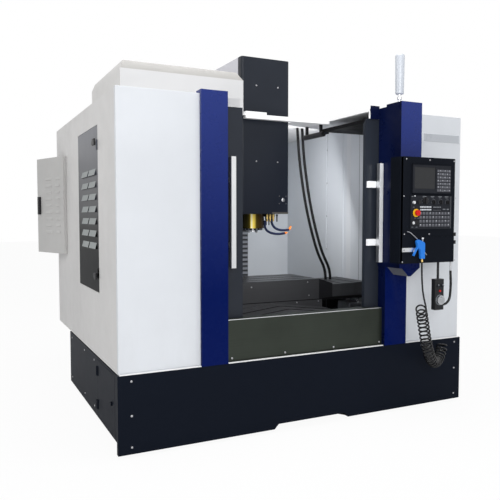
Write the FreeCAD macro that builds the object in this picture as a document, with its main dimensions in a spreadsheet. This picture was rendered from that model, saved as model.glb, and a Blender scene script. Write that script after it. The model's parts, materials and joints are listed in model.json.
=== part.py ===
"""A vertical CNC machining centre: bed, column, moving saddle, table and head, tool magazine, cabinet and controls.

Millimetres. X runs to the operator's right, Y away from the operator, Z up. The origin is at floor level, in the
middle of the four anchor holes, which is also the middle of the cabinet's width.
"""

import FreeCAD, Part
import math
import os
import re

import Sketcher

Vector = FreeCAD.Vector
Rotation = FreeCAD.Rotation

document = FreeCAD.newDocument("MachiningCentre")

DIMENSIONS = (
    # The cabinet and its skirt
    ("cabinet_half", 1239, "half the width of the cabinet"),
    ("cabinet_front", 995, "front faces of the front panels, ahead of the origin"),
    ("cabinet_rear", 1007, "rear face of the cabinet, behind the origin"),
    ("cabinet_top", 2038, "top of the side and front panels"),
    ("panel_fold", 30, "depth of a panel with its folded edges"),
    ("sheet_metal", 3, "thickness of the cabinet's sheet"),
    ("skirt_half", 1250, "half the width of the front skirt"),
    ("skirt_front", 1015, "front face of the skirt and the pillars"),
    ("skirt_base", 20, "bottom of the front skirt"),
    ("skirt_top", 465, "top of the front skirt"),
    ("side_skirt_inset", 25, "side skirts' outer faces from the front skirt's ends"),
    ("side_skirt_rear", 595, "rear end of the side skirts"),
    ("side_skirt_base", 50, "bottom of the side skirts"),
    ("side_skirt_top", 441, "top of the side skirts"),
    ("notch_half", 275, "half the width of the notch for a pallet truck"),
    ("notch_rise", 30, "height of that notch, and the run of its sloped ends"),
    ("pillar_left_inner", 587, "inner edge of the left pillar"),
    ("pillar_left_outer", 755, "outer edge of the left pillar"),
    ("pillar_right_inner", 566, "inner edge of the right pillar"),
    ("pillar_right_outer", 749, "outer edge of the right pillar"),
    ("pillar_depth", 75, "depth of the pillars"),
    ("pillar_top", 2060, "top of the left pillar"),
    ("post_left", 560, "inner face of the control's post on the right pillar"),
    ("post_right", 730, "outer face of that post"),
    ("post_reach", 150, "how far the post stands ahead of the pillar"),
    ("post_base", 1000, "bottom of the post"),
    ("post_top", 2075, "top of the post"),
    ("gusset_drop", 55, "height of the gusset under the post"),
    ("skirt_rail_width", 60, "width of the rails from the front skirt to the bed"),
    ("skirt_rail_height", 60, "height of those rails"),
    ("gusset_inset", 20, "gusset's upper inner corner from the post's inner face"),
    ("gusset_tip", 20, "width of the gusset's lower end"),
    ("barrel_inset", 80, "hinge barrels from the ends of the control box"),
    ("barrel_length", 40, "length of a hinge barrel"),
    ("band_left", 900, "left end of the bare band on the right front panel"),
    ("band_length", 323, "length of that band"),
    ("band_base", 1857, "bottom of that band"),
    ("band_height", 53, "height of that band"),
    ("band_thickness", 3, "thickness of that band"),
    # The sill and the sliding doors
    ("sill_front", 985, "front face of the sill under the doors"),
    ("sill_depth", 85, "depth of the sill, with its top flange"),
    ("sill_top", 722, "top of the sill"),
    ("door_front", 935, "front faces of the doors"),
    ("door_thickness", 30, "thickness of a door leaf"),
    ("door_width", 629.5, "width of a door leaf"),
    ("door_travel", 455, "how far each door slides to close"),
    ("door_meeting_gap", 0.5, "half the gap between the closed doors"),
    ("door_top", 1988, "top of the door leaves"),
    ("stile_width", 132, "width of the stile that carries the handle"),
    ("rail_width", 60, "width of the other members of a door frame"),
    ("window_base", 900, "bottom of a door window"),
    ("window_top", 1850, "top of a door window"),
    ("pane_thickness", 6, "thickness of a door window"),
    ("canopy_depth", 475, "length of a door's roof part, behind its leaf"),
    ("canopy_base", 1960, "bottom of a door's roof part"),
    ("canopy_thickness", 25, "thickness of a door's roof part"),
    ("roller_width", 40, "width of the roller block on a door's roof part"),
    ("roller_depth", 30, "depth of that roller block"),
    ("handle_inset", 86, "handle's centre from the edge where the doors meet"),
    ("handle_base", 1030, "bottom of a door handle"),
    ("handle_top", 1690, "top of a door handle"),
    ("handle_width", 30, "width and depth of a handle bar"),
    ("handle_reach", 60, "how far a handle's front stands off its door"),
    ("handle_foot_inset", 121, "handle's feet from its ends"),
    # The left side's openings
    ("louvre_door_front", 545, "front edge of the opening for the louvred door"),
    ("louvre_door_length", 620, "length of that opening"),
    ("louvre_door_base", 870, "bottom of that opening"),
    ("louvre_door_top", 1890, "top of that opening"),
    ("door_gap", 2, "gap round a door that closes flush"),
    ("flush_thickness", 20, "thickness of a door that closes flush"),
    ("louvre_base", 1136, "lowest louvre"),
    ("louvre_pitch", 76, "height from one louvre to the next"),
    ("louvre_rows", 7, "rows of louvres"),
    ("louvre_length", 197, "length of a louvre"),
    ("louvre_height", 38, "height of a louvre"),
    ("louvre_inset", 57, "first column of louvres from the door's front edge"),
    ("louvre_spacing", 223, "from one column of louvres to the next"),
    ("louvre_depth", 10, "how far a louvre stands out"),
    ("hinge_radius", 5, "radius of a hinge's barrel"),
    ("pin_length", 60, "length of a hinge's barrel"),
    ("pin_inset", 90, "hinge's barrel from the end of a door"),
    ("pin_lug", 20, "length of a hinge's leaf on its door"),
    ("latch_depth", 18, "how far a latch stands out"),
    ("latch_inset", 32, "service door's latch from the door's edge"),
    ("latch_width", 28, "width of that latch"),
    ("latch_height", 140, "height of that latch"),
    ("latch_radius", 12, "radius of the hatch's latch"),
    ("hatch_latch_inset", 75, "hatch's latch from its front edge"),
    ("service_door_hinge", 565, "hinge line of the service door, behind the origin"),
    ("service_door_width", 430, "width of the service door"),
    ("service_door_base", 1049, "bottom of the service door"),
    ("service_door_top", 1798, "top of the service door"),
    ("service_door_depth", 25, "thickness of the service door"),
    ("service_door_open", 19, "angle at which the service door stands open"),
    ("service_bay_margin", 30, "how far the service door laps over its opening"),
    ("hatch_front", 845, "front edge of the hatch in the left skirt"),
    ("hatch_length", 459, "length of the hatch"),
    ("hatch_base", 62, "bottom of the hatch"),
    ("hatch_top", 428, "top of the hatch"),
    # The roof and the magazine's cover
    ("roof_base", 1990, "underside of the roof frame"),
    ("roof_opening_half", 475, "half the width of the roof opening over the doors"),
    ("beam_front", 455, "front face of the roof's cross beam"),
    ("beam_depth", 40, "depth of the cross beam"),
    ("beam_base", 2016, "underside of the cross beam"),
    ("beam_top", 2045, "top of the cross beam"),
    ("beam_right", 484, "right end of the cross beam"),
    ("beam_step", 18, "height of the raised part of the cross beam"),
    ("beam_step_end", 40, "right end of that raised part, left of the middle"),
    ("head_bay_right", 250, "right edge of the roof opening for the head"),
    ("cover_left", 1064, "left face of the magazine cover"),
    ("cover_right", 202, "right face of the magazine cover"),
    ("cover_front", 415, "front face of the magazine cover"),
    ("cover_rear", 435, "rear face of the magazine cover"),
    ("cover_shoulder", 2275, "where the magazine cover's sloped edges start"),
    ("cover_top", 2330, "top of the magazine cover"),
    ("cover_slope", 45, "run of the magazine cover's sloped edges"),
    # The liner, the cabinet at the back and the tank
    ("liner_half", 850, "inner faces of the side liners"),
    ("liner_front", 900, "front edge of the side liners"),
    ("liner_rear", 805, "front face of the rear liner"),
    ("liner_base", 500, "top of the liner's floor"),
    ("liner_top", 1950, "top of the liners beside the doors' roof parts"),
    ("liner_step", 390, "where the side liners rise to the roof, ahead of the origin"),
    ("liner_sheet", 4, "thickness of the liner"),
    ("seam_depth", 6, "how far a liner's seam stands out"),
    ("seam_width", 24, "width of a liner's seam"),
    ("seam_ahead", 94, "front seam's rear face, ahead of the origin"),
    ("seam_behind", 129, "rear seam, behind the origin"),
    ("electrics_half", 450, "half the width of the electrical cabinet"),
    ("electrics_depth", 250, "depth of the electrical cabinet"),
    ("electrics_base", 500, "bottom of the electrical cabinet"),
    ("electrics_top", 1950, "top of the electrical cabinet"),
    ("electrics_edge", 25, "margin round the electrical cabinet's door"),
    ("electrics_door", 14, "thickness of that door"),
    ("tank_half", 600, "half the width of the coolant tank"),
    ("tank_behind", 10, "gap from the bed to the coolant tank"),
    ("tank_depth", 200, "depth of the coolant tank"),
    ("tank_height", 330, "height of the coolant tank"),
    ("tank_lid", 12, "thickness of the coolant tank's lid"),
    ("castor_radius", 15, "radius of the coolant tank's wheels"),
    ("pump_inset", 75, "coolant pump's axis from the tank's end"),
    ("pump_radius", 62, "radius of the coolant pump's motor"),
    ("pump_height", 230, "height of the coolant pump"),
    # The bed, the column and their ways
    ("bed_half", 420, "half the width of the bed"),
    ("bed_front", 700, "front end of the bed, ahead of the origin"),
    ("bed_rear", 765, "rear end of the bed, behind the origin"),
    ("bed_base", 75, "underside of the bed"),
    ("bed_top", 560, "top of the bed beside its ways"),
    ("way_centre", 220, "from the middle plane to the middle of a way"),
    ("way_width", 80, "width of a way"),
    ("way_height", 40, "height of a way"),
    ("trough_half", 110, "half the width of the trough for the feed screw"),
    ("trough_depth", 120, "depth of that trough"),
    ("bed_wall", 60, "walls of the bed round its hollow underside"),
    ("bearing_length", 40, "length of a screw's bearing block"),
    ("lug_reach", 35, "how far a foot lug reaches past its levelling screw"),
    ("lug_width", 100, "width of a foot lug"),
    ("column_half", 195, "half the width of the column"),
    ("lift_way_inner", 120, "inner edge of a way on the column"),
    ("lift_way_outer", 180, "outer edge of a way on the column"),
    ("lift_way_height", 30, "how far the ways stand out of the column"),
    ("column_front", 335, "front face of the column, behind the origin"),
    ("column_gap", 8, "gap round the column in the roof"),
    ("column_depth", 410, "depth of the column at its foot"),
    ("column_top_depth", 300, "depth of the column at its top"),
    ("column_foot", 80, "solid foot of the column under its screw channel"),
    ("column_head", 90, "solid head of the column over that channel"),
    ("bracket_depth", 120, "depth of the magazine's bracket"),
    ("bracket_half", 70, "half the height of that bracket"),
    ("bracket_plate", 20, "thickness of that bracket's plate"),
    ("boss_radius", 60, "radius of the boss under the magazine's hub"),
    ("column_top", 2230, "top of the column"),
    ("foot_spacing_across", 1240, "between the anchor holes, across"),
    ("foot_spacing_deep", 1240, "between the anchor holes, front to rear"),
    ("foot_length", 180, "length of a sole plate"),
    ("foot_width", 120, "width of a sole plate"),
    ("foot_thickness", 25, "thickness of a sole plate"),
    ("anchor_radius", 13, "radius of an anchor hole"),
    ("jack_offset", 95, "levelling screw's axis from the anchor hole, inwards"),
    ("jack_radius", 15, "radius of a levelling screw"),
    ("lug_height", 60, "height of the bed's foot lugs"),
    ("slide_gap", 0.3, "running clearance between sliding or turning pieces"),
    # The saddle, the table and the head
    ("table_ahead", 235, "middle of the table, ahead of the origin"),
    ("saddle_half", 430, "half the width of the saddle"),
    ("saddle_depth", 430, "depth of the saddle"),
    ("saddle_height", 124.4, "height of the saddle under its ways"),
    ("saddle_bevel", 25, "bevel along the saddle's upper edges"),
    ("bearing_top", 20, "cross screw's bearing blocks above its axis"),
    ("cross_way_height", 60, "height of the ways on the saddle"),
    ("cross_way_width", 70, "width of the ways on the saddle"),
    ("cross_way_centre", 150, "from the saddle's middle to the middle of a way"),
    ("table_length", 800, "length of the table"),
    ("table_depth", 420, "depth of the table"),
    ("table_thickness", 90, "thickness of the table"),
    ("slot_pitch", 125, "from one T-slot to the next"),
    ("slot_width", 18, "width of a T-slot's neck"),
    ("slot_neck", 16, "depth of a T-slot's neck"),
    ("slot_foot_width", 32, "width of a T-slot's foot"),
    ("slot_foot_height", 14, "height of a T-slot's foot"),
    ("guard_overhang", 118, "length of a guard's end beyond the table"),
    ("guard_height", 148, "height of the guard in front of the table"),
    ("guard_ahead", 12, "gap from the table to its guard's face"),
    ("way_cover_end", 845, "outer ends of the covers beside the table"),
    ("way_cover_top", 838, "top of the covers beside the table"),
    ("way_cover_height", 103, "height of the covers beside the table"),
    ("cover_rail_height", 20, "height of the saddle's rails that carry those covers"),
    ("hood_lap", 12, "overlap of a telescopic cover's hoods"),
    ("hood_fall", 50, "fall from a hood's ridge to its eaves"),
    ("hood_depth", 10, "depth of the column's way cover"),
    ("cover_head_gap", 20, "gap from that cover to the head"),
    ("spindle_ahead", 145, "spindle axis, ahead of the origin"),
    ("nose_drop", 120, "underside of the spindle cartridge below the head's"),
    ("nose_radius", 90, "radius of the spindle cartridge"),
    ("nose_step", 14, "step round the cartridge's nose"),
    ("barrel_radius", 70, "radius of the cartridge in the head"),
    ("spindle_radius", 44, "radius of the spindle's nose"),
    ("spindle_drop", 12, "how far the spindle stands out of its cartridge"),
    ("spindle_length", 300, "length of the spindle"),
    ("taper_radius", 22.225, "large radius of the tool taper"),
    ("taper_depth", 68, "depth of the tool taper"),
    ("taper_end_radius", 12.3, "small radius of the tool taper"),
    ("drawbar_radius", 8.5, "radius of the drawbar's bore"),
    ("key_width", 15.8, "width of a drive key"),
    ("key_drop", 7, "how far a drive key stands down"),
    ("manifold_length", 70, "length of the coolant block"),
    ("manifold_depth", 60, "depth of the coolant block"),
    ("manifold_height", 20, "height of the coolant block"),
    ("nozzle_radius", 9, "radius of a nozzle's foot"),
    ("head_base", 1355, "underside of the head"),
    ("head_half", 150, "half the width of the head casting"),
    ("head_top", 1800, "top of the head casting"),
    ("head_nose", 140, "head's front face from the spindle's axis"),
    ("head_ledge", 40, "flat top of the head behind its motor"),
    ("head_fall", 150, "fall of the head's top to its front"),
    ("head_bore", 210, "depth of the head's bore for the cartridge"),
    ("slide_plate", 60, "thickness of the head's slide plate"),
    ("nut_lift", 200, "lift screw's nut above the head's underside"),
    ("head_cover_half", 192, "half the width of the head's covers"),
    ("head_cover_front", 365, "front face of the head's cover"),
    ("head_cover_depth", 60, "depth of the head's front cover"),
    ("head_cover_top", 2460, "top of the head's front cover"),
    ("head_cover_round", 18, "rounding of the head's front cover"),
    ("side_cover_base", 1500, "bottom of the head's side covers"),
    ("side_cover_rear", 290, "rear edge of the head's side covers"),
    ("motor_radius", 105, "radius of the spindle motor"),
    ("motor_height", 430, "height of the spindle motor"),
    # The feed screws and their motors
    ("screw_radius", 16, "radius of a feed screw"),
    ("nut_radius", 32, "radius round a feed screw's nut bore"),
    ("nut_length", 90, "length of a feed screw's nut"),
    ("servo_size", 100, "width and depth of a feed motor"),
    ("servo_length", 170, "length of a feed motor"),
    ("servo_flange", 16, "thickness of a feed motor's flange"),
    ("servo_edge", 6, "how far that flange stands out round its motor"),
    ("servo_drop", 4, "cross motor's top below the table"),
    ("feed_screw_drop", 55, "bed screw's axis below the bed's top"),
    ("cross_screw_drop", 30, "saddle screw's axis below the table's underside"),
    ("lift_screw_setback", 55, "column screw's axis behind the column's face"),
    # The tool magazine
    ("magazine_left", 560, "right face of the magazine's disc, left of the middle"),
    ("magazine_behind", 10, "magazine's axis, behind the origin"),
    ("magazine_height", 1850, "height of the magazine's axis"),
    ("disc_radius", 400, "radius of the magazine's disc"),
    ("disc_thickness", 18, "thickness of the magazine's disc"),
    ("disc_hole", 210, "radius of the window between the disc's spokes"),
    ("spoke_half", 30, "half the width of the disc's spokes"),
    ("hub_radius", 70, "radius of the magazine's hub"),
    ("hub_length", 30, "how far the hub stands out of the disc"),
    ("pot_circle", 362, "radius of the circle of tool pots"),
    ("pot_count", 24, "tool pots in the magazine"),
    ("pot_radius", 36, "radius of a tool pot"),
    ("pot_bore", 20, "radius of a tool pot's bore"),
    ("pot_length", 100, "length of a tool pot"),
    ("arm_left", 340, "tool arm's axis, left of the middle"),
    ("arm_top", 1215, "top of the tool arm"),
    ("arm_thickness", 40, "thickness of the tool arm"),
    ("arm_reach", 340, "from the arm's axis to its grippers"),
    ("arm_width", 70, "width of the tool arm"),
    ("grip_radius", 32, "radius of a gripper's throat"),
    ("arm_shaft_radius", 28, "radius of the tool arm's shaft"),
    ("arm_shaft", 120, "length of the tool arm's shaft"),
    ("cam_half", 80, "half the width of the cam box over the tool arm"),
    ("cam_drop", 80, "cam box's top below the magazine's bracket"),
    # Lamps
    ("lamp_right", 480, "work lamp's axis, right of the middle"),
    ("lamp_front", 382, "front end of the work lamp, ahead of the origin"),
    ("lamp_length", 276, "length of the work lamp"),
    ("lamp_height", 1955, "height of the work lamp's axis"),
    ("lamp_radius", 20, "radius of the work lamp"),
    ("lamp_inset", 30, "work lamp's brackets from its ends"),
    ("signal_right", 600, "signal lamp's axis, right of the middle"),
    ("signal_ahead", 80, "signal lamp's axis, ahead of the pillar's face"),
    ("signal_base", 2137, "bottom of the signal lamp's lens"),
    ("signal_height", 270, "height of that lens"),
    ("signal_radius", 34, "radius of that lens at its foot"),
    ("signal_top_radius", 30, "radius of that lens at its top"),
    ("stem_radius", 10, "radius of the signal lamp's stem"),
    # The control box and what is on it
    ("control_left", 446, "left face of the control box"),
    ("control_width", 445, "width of the control box"),
    ("control_front", 1315, "front face of the control box"),
    ("control_depth", 124, "depth of the control box"),
    ("control_base", 1044, "bottom of the control box"),
    ("control_top", 1706, "top of the control box"),
    ("control_round", 22, "rounding of the control box's upright edges"),
    ("control_wall", 3, "walls of the control box"),
    ("swivel_right", 715, "control box's swivel axis, right of the middle"),
    ("swivel_radius", 9, "radius of the swivel's barrel"),
    ("bezel_left", 521, "left edge of the display unit"),
    ("bezel_width", 324, "width of the display unit"),
    ("bezel_base", 1479, "bottom of the display unit"),
    ("bezel_height", 184, "height of the display unit"),
    ("screen_left", 541, "left edge of the screen"),
    ("screen_width", 169, "width of the screen"),
    ("screen_base", 1510, "bottom of the screen"),
    ("screen_height", 134, "height of the screen"),
    ("screen_depth", 3, "depth of the screen behind its frame"),
    ("panel_left", 513, "left edge of the operator's panel"),
    ("panel_width", 336, "width of the operator's panel"),
    ("panel_base", 1258, "bottom of the operator's panel"),
    ("panel_height", 209, "height of the operator's panel"),
    ("cover_plate_left", 627, "left edge of the lower cover"),
    ("cover_plate_width", 246, "width of the lower cover"),
    ("cover_plate_base", 1050, "bottom of the lower cover"),
    ("cover_plate_height", 159, "height of the lower cover"),
    ("label_left", 451, "left edge of the small plain plate"),
    ("label_width", 111, "width of that plate"),
    ("label_base", 1117, "bottom of that plate"),
    ("label_height", 25, "height of that plate"),
    ("plate_thickness", 5, "how far the control's plates stand out"),
    ("key_size", 13, "width and height of a key"),
    ("key_height", 2, "how far a key stands out"),
    ("key_pitch", 19, "from one key to the next"),
    ("keypad_left", 748, "left edge of the keypad"),
    ("keypad_base", 1530, "bottom of the keypad"),
    ("row_left", 685, "left edge of the rows of keys under the dials"),
    ("row_base", 1285, "bottom of those rows"),
    ("dial_row", 1427, "height of the row of dials"),
    ("dial_radius", 13, "radius of a small dial"),
    ("dial_length", 16, "length of a dial"),
    ("dial_skirt", 7, "thickness of a dial's skirt"),
    ("dial_first", 697, "first small dial, right of the middle"),
    ("dial_pitch", 57.5, "from one small dial to the next"),
    ("override_right", 627, "large dial's axis, right of the middle"),
    ("override_height", 1436, "height of the large dial's axis"),
    ("key_lock_right", 578, "key switch's axis, right of the middle"),
    ("override_radius", 21, "radius of the large dial"),
    ("stop_right", 553, "emergency stop's axis, right of the middle"),
    ("stop_height", 1359, "height of the emergency stop's axis"),
    ("stop_radius", 18, "radius of the emergency stop's head"),
    ("stop_ring_radius", 26, "radius of the ring round the emergency stop"),
    ("stop_ring", 3, "thickness of that ring"),
    ("stop_stem", 9, "radius of the emergency stop's stem"),
    ("stop_head", 12, "thickness of the emergency stop's head"),
    ("press_left", 4, "how far the stop's head and the start button stand out when pressed"),
    ("button_travel", 6, "travel of the emergency stop and the start button"),
    ("start_right", 535, "start button's axis, right of the middle"),
    ("start_height", 1424, "height of the start button's axis"),
    ("start_radius", 9, "radius of the start button"),
    # The air gun, the hand unit and the hoses
    ("gun_right", 595, "air gun's handle, right of the middle"),
    ("gun_base", 1068, "lower end of the air gun's handle"),
    ("gun_height", 128, "height of the air gun's handle"),
    ("gun_thickness", 24, "thickness of the air gun"),
    ("gun_ahead", 8, "gap from the control box to the air gun"),
    ("gun_fitting", 15, "length of the air gun's hose fitting"),
    ("hook_half", 8, "half the width of the air gun's hook"),
    ("nozzle_reach", 120, "tip of the air gun's nozzle, left of its grip"),
    ("nozzle_rise", 48, "tip of the air gun's nozzle above its head"),
    ("gun_nozzle_radius", 4, "radius of the air gun's nozzle"),
    ("unit_left", 735, "left face of the hand unit"),
    ("unit_width", 74, "width of the hand unit"),
    ("unit_base", 735, "bottom of the hand unit"),
    ("unit_height", 200, "height of the hand unit"),
    ("unit_depth", 42, "depth of the hand unit"),
    ("unit_behind", 6, "hand unit's front face, behind the control's face"),
    ("stem_drop", 60, "length of the rod that the hand unit's lead hangs from"),
    ("lead_right", 880, "that rod, right of the middle"),
    ("lead_entry", 30, "where the lead enters the hand unit, above its bottom"),
    ("unit_round", 8, "rounding of the hand unit's upright edges"),
    ("wheel_lift", 65, "wheel's axis above the hand unit's bottom"),
    ("wheel_radius", 30, "radius of the hand unit's wheel"),
    ("wheel_depth", 14, "depth of the hand unit's wheel"),
    ("air_hose_radius", 5.5, "radius of the air hose"),
    ("coil_radius", 33, "radius of the air hose's curls, to the middle of the hose"),
    ("coil_turns", 24, "curls in the air hose"),
    ("unit_lead_radius", 8, "radius of the hand unit's lead"),
    ("conduit_radius", 11, "radius of the conduits to the saddle"),
)

sheet = document.addObject("Spreadsheet::Sheet", "Dims")
for row, (word, number, meaning) in enumerate(DIMENSIONS, start=1):
    sheet.set(f"A{row}", word)
    sheet.set(f"B{row}", str(number))
    sheet.set(f"C{row}", meaning)
    sheet.setAlias(f"B{row}", word)
document.recompute()

size = {word: float(sheet.get(word)) for word, _, _ in DIMENSIONS}
nodes = []

# Places that follow from others
SIDE_SKIRT = "(skirt_half - side_skirt_inset)"
NOSE_BASE = "(head_base - nose_drop)"
SADDLE_BASE = "(bed_top + way_height + slide_gap)"
SADDLE_TOP = f"({SADDLE_BASE} + saddle_height)"
TABLE_BASE = f"({SADDLE_TOP} + cross_way_height + slide_gap)"
TABLE_TOP = f"({TABLE_BASE} + table_thickness)"
TABLE_FRONT = "(-table_ahead - table_depth / 2)"
TABLE_REAR = "(-table_ahead + table_depth / 2)"
CABINET_INSIDE = "(cabinet_half - panel_fold)"


def bound(formula):
    """The formula with each dimension's word pointed at its cell."""
    return re.sub(r"[a-z_]+", lambda m: f"Dims.{m.group()}" if m.group() in size else m.group(), str(formula))


def form(kind, **formulas):
    """A primitive or boolean whose properties follow the sheet."""
    feature = document.addObject(kind, "Form")
    for name, formula in formulas.items():
        feature.setExpression(name, bound(formula))
    return feature


def place(feature, x, y, z, rotation=None):
    """Puts a feature at a point given by three formulas."""
    if rotation is not None:
        feature.Placement = FreeCAD.Placement(Vector(), rotation)
    for axis, formula in zip("xyz", (x, y, z)):
        feature.setExpression(f"Placement.Base.{axis}", bound(formula))
    return feature


def block(x, y, z):
    """A box between a low and a high formula on each axis."""
    spans = [f"({high}) - ({low})" for low, high in (x, y, z)]
    feature = form("Part::Box", Length=spans[0], Width=spans[1], Height=spans[2])
    return place(feature, x[0], y[0], z[0])


ALONG = {
    "x": Rotation(Vector(0, 1, 0), 90),
    "y": Rotation(Vector(1, 0, 0), -90),
    "z": Rotation(),
}


def rod(axis, start, radius, length):
    """A cylinder from its start along +X, +Y or +Z."""
    feature = form("Part::Cylinder", Radius=radius, Height=length)
    return place(feature, *start, rotation=ALONG[axis])


def fuse(*features):
    feature = document.addObject("Part::MultiFuse", "Joined")
    feature.Shapes = list(features)
    feature.Refine = True
    return feature


def group(*features):
    """Separate solids kept together, such as a set of feet."""
    feature = document.addObject("Part::Compound", "Group")
    feature.Links = list(features)
    return feature


def cut(base, *tools):
    feature = document.addObject("Part::Cut", "Cut")
    feature.Base = base
    feature.Tool = tools[0] if len(tools) == 1 else group(*tools)
    feature.Refine = True
    return feature


def grown(span, low, high, by):
    """A span moved inwards by a formula, or outwards at an open end."""
    start = f"{span[0]} - {by}" if low else f"{span[0]} + {by}"
    end = f"{span[1]} + {by}" if high else f"{span[1]} - {by}"
    return (start, end)


def tray(x, y, z, open_side):
    """A folded sheet: a flat face with its edges turned back, open on one side or on several."""
    spans = []
    for axis, span in zip("xyz", (x, y, z)):
        low = f"-{axis}" in open_side
        high = f"+{axis}" in open_side
        spans.append(grown(span, low, high, "sheet_metal"))
    return cut(block(x, y, z), block(*spans))


def origin_feature(body, role):
    return next(item for item in body.Origin.OriginFeatures if item.Role == role)


def outline(body, plane, points):
    """A closed sketch on one of the body's planes, with each corner held by two formulas."""
    sketch = body.newObject("Sketcher::SketchObject", "Outline")
    sketch.AttachmentSupport = [(origin_feature(body, plane), "")]
    sketch.MapMode = "FlatFace"
    count = len(points)
    corners = []
    for index in range(count):
        turn = 2 * math.pi * index / count
        corners.append(Vector(100 * math.cos(turn) + 3, 100 * math.sin(turn) + 2, 0))
    for index in range(count):
        sketch.addGeometry(Part.LineSegment(corners[index], corners[(index + 1) % count]), False)
    for index in range(count):
        sketch.addConstraint(Sketcher.Constraint("Coincident", index, 2, (index + 1) % count, 1))
    for index, (across, up) in enumerate(points):
        hold(sketch, index, "DistanceX", across, corners[index].x, -2)
        hold(sketch, index, "DistanceY", up, corners[index].y, -1)
    return sketch


def hold(sketch, index, kind, formula, start, axis):
    """Holds a corner at a formula's distance from the sketch's origin, or on its axis."""
    if formula == "0":
        sketch.addConstraint(Sketcher.Constraint("PointOnObject", index, 1, axis))
        return
    number = sketch.addConstraint(Sketcher.Constraint(kind, -1, 1, index, 1, start))
    sketch.setExpression(f"Constraints[{number}]", bound(formula))


PLANES = {"x": "YZ_Plane", "y": "XZ_Plane", "z": "XY_Plane"}


def prism(axis, points, low, high):
    """A body whose outline runs along an axis from a low to a high formula."""
    body = document.addObject("PartDesign::Body", "Body")
    pad = body.newObject("PartDesign::Pad", "Pad")
    pad.Profile = outline(body, PLANES[axis], points)
    pad.setExpression("Length", bound(f"({high}) - ({low})"))
    pad.Reversed = axis == "y"
    body.Tip = pad
    shift = ["0", "0", "0"]
    shift["xyz".index(axis)] = low
    return place(body, *shift)


def bar(axis, start, radius, length, sides=12):
    """A many-sided bar, such as a knob, a nut or a hinge's barrel, from its start along +X, +Y or +Z."""
    middles = [formula for letter, formula in zip("xyz", start) if letter != axis]
    points = []
    for index in range(sides):
        turn = 2 * math.pi * (index + 0.5) / sides
        spot = (math.cos(turn), math.sin(turn))
        points.append(tuple(f"{middle} + {radius} * ({share:.6f})" for middle, share in zip(middles, spot)))
    low = start["xyz".index(axis)]
    return prism(axis, points, low, f"{low} + {length}")


def leaning(start, end, radius, sides=8):
    """A many-sided bar from one point to another, in the plane across the machine."""
    run, rise = (f"(({b}) - ({a}))" for a, b in ((start[0], end[0]), (start[2], end[2])))
    length = f"sqrt({run} * {run} + {rise} * {rise})"
    feature = bar("z", ("0", "0", "0"), radius, length, sides)
    feature.Placement = FreeCAD.Placement(Vector(), Rotation(Vector(0, 1, 0), 45))
    for axis, formula in zip("xyz", start):
        feature.setExpression(f"Placement.Base.{axis}", bound(formula))
    feature.setExpression("Placement.Rotation.Angle", bound(f"atan2({run}; {rise})"))
    return feature


def turned(points, centre):
    """A body turned about an upright axis, from points of radius and height."""
    body = document.addObject("PartDesign::Body", "Body")
    sketch = outline(body, "XZ_Plane", points)
    turn = body.newObject("PartDesign::Revolution", "Revolution")
    turn.Profile = sketch
    turn.ReferenceAxis = (sketch, ["V_Axis"])
    turn.Angle = 360
    body.Tip = turn
    return place(body, centre[0], centre[1], "0")


def rounded(body, axis, radius, front_only=False):
    """Rounds a body's edges that run along an axis, or only those at its front."""
    document.recompute()
    base = body.Tip
    direction = {"x": Vector(1, 0, 0), "y": Vector(0, 1, 0), "z": Vector(0, 0, 1)}[axis]
    names = []
    for index, edge in enumerate(base.Shape.Edges, start=1):
        along = edge.tangentAt(edge.FirstParameter)
        at_front = abs(edge.CenterOfMass.y - base.Shape.BoundBox.YMin) < 0.01
        if abs(abs(along.dot(direction)) - 1) < 1e-6 and (at_front or not front_only):
            names.append(f"Edge{index}")
    fillet = body.newObject("PartDesign::Fillet", "Fillet")
    fillet.Base = (base, names)
    fillet.setExpression("Radius", bound(radius))
    body.Tip = fillet
    return body


def node(name, feature):
    """Names a finished sub-part."""
    feature.Label = name
    nodes.append(feature)
    return feature


def mirrored_spans(low, high):
    """A span left of the middle plane and its mirror on the right."""
    return (f"-({high})", f"-({low})"), (low, high)


# ---------------------------------------------------------------------------
# Cabinet
# ---------------------------------------------------------------------------

PILLAR_REAR = "(pillar_depth - skirt_front)"
SHEET_INSIDE = "(sheet_metal - skirt_front)"


def skirts():
    """The front skirt with its pallet-truck notch, a skirt on each side and the rails back to the bed."""
    front = tray(
        ("-skirt_half", "skirt_half"), ("-skirt_front", "panel_fold - skirt_front"), ("skirt_base", "skirt_top"), "+y"
    )
    notch = prism(
        "y",
        [
            ("-notch_half", "skirt_base - 1"),
            ("notch_half", "skirt_base - 1"),
            ("notch_half - notch_rise", "skirt_base + notch_rise"),
            ("notch_rise - notch_half", "skirt_base + notch_rise"),
        ],
        "-skirt_front - 1",
        "panel_fold - skirt_front + 1",
    )
    side_y = (SHEET_INSIDE, "side_skirt_rear")
    side_z = ("side_skirt_base", "side_skirt_top")
    left = tray((f"-{SIDE_SKIRT}", f"panel_fold - {SIDE_SKIRT}"), side_y, side_z, "+x")
    hatch_hole = block(
        (f"-{SIDE_SKIRT} - 1", f"sheet_metal - {SIDE_SKIRT} + 1"),
        ("-hatch_front", "hatch_length - hatch_front"),
        ("hatch_base", "hatch_top"),
    )
    right = tray((f"{SIDE_SKIRT} - panel_fold", SIDE_SKIRT), side_y, side_z, "-x")
    rails = [
        block(x, (SHEET_INSIDE, "-bed_front"), ("bed_base", "bed_base + skirt_rail_height"))
        for x in mirrored_spans("bed_half - skirt_rail_width", "bed_half")
    ]
    node("skirts", group(cut(front, notch), cut(left, hatch_hole), right, *rails))


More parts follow.
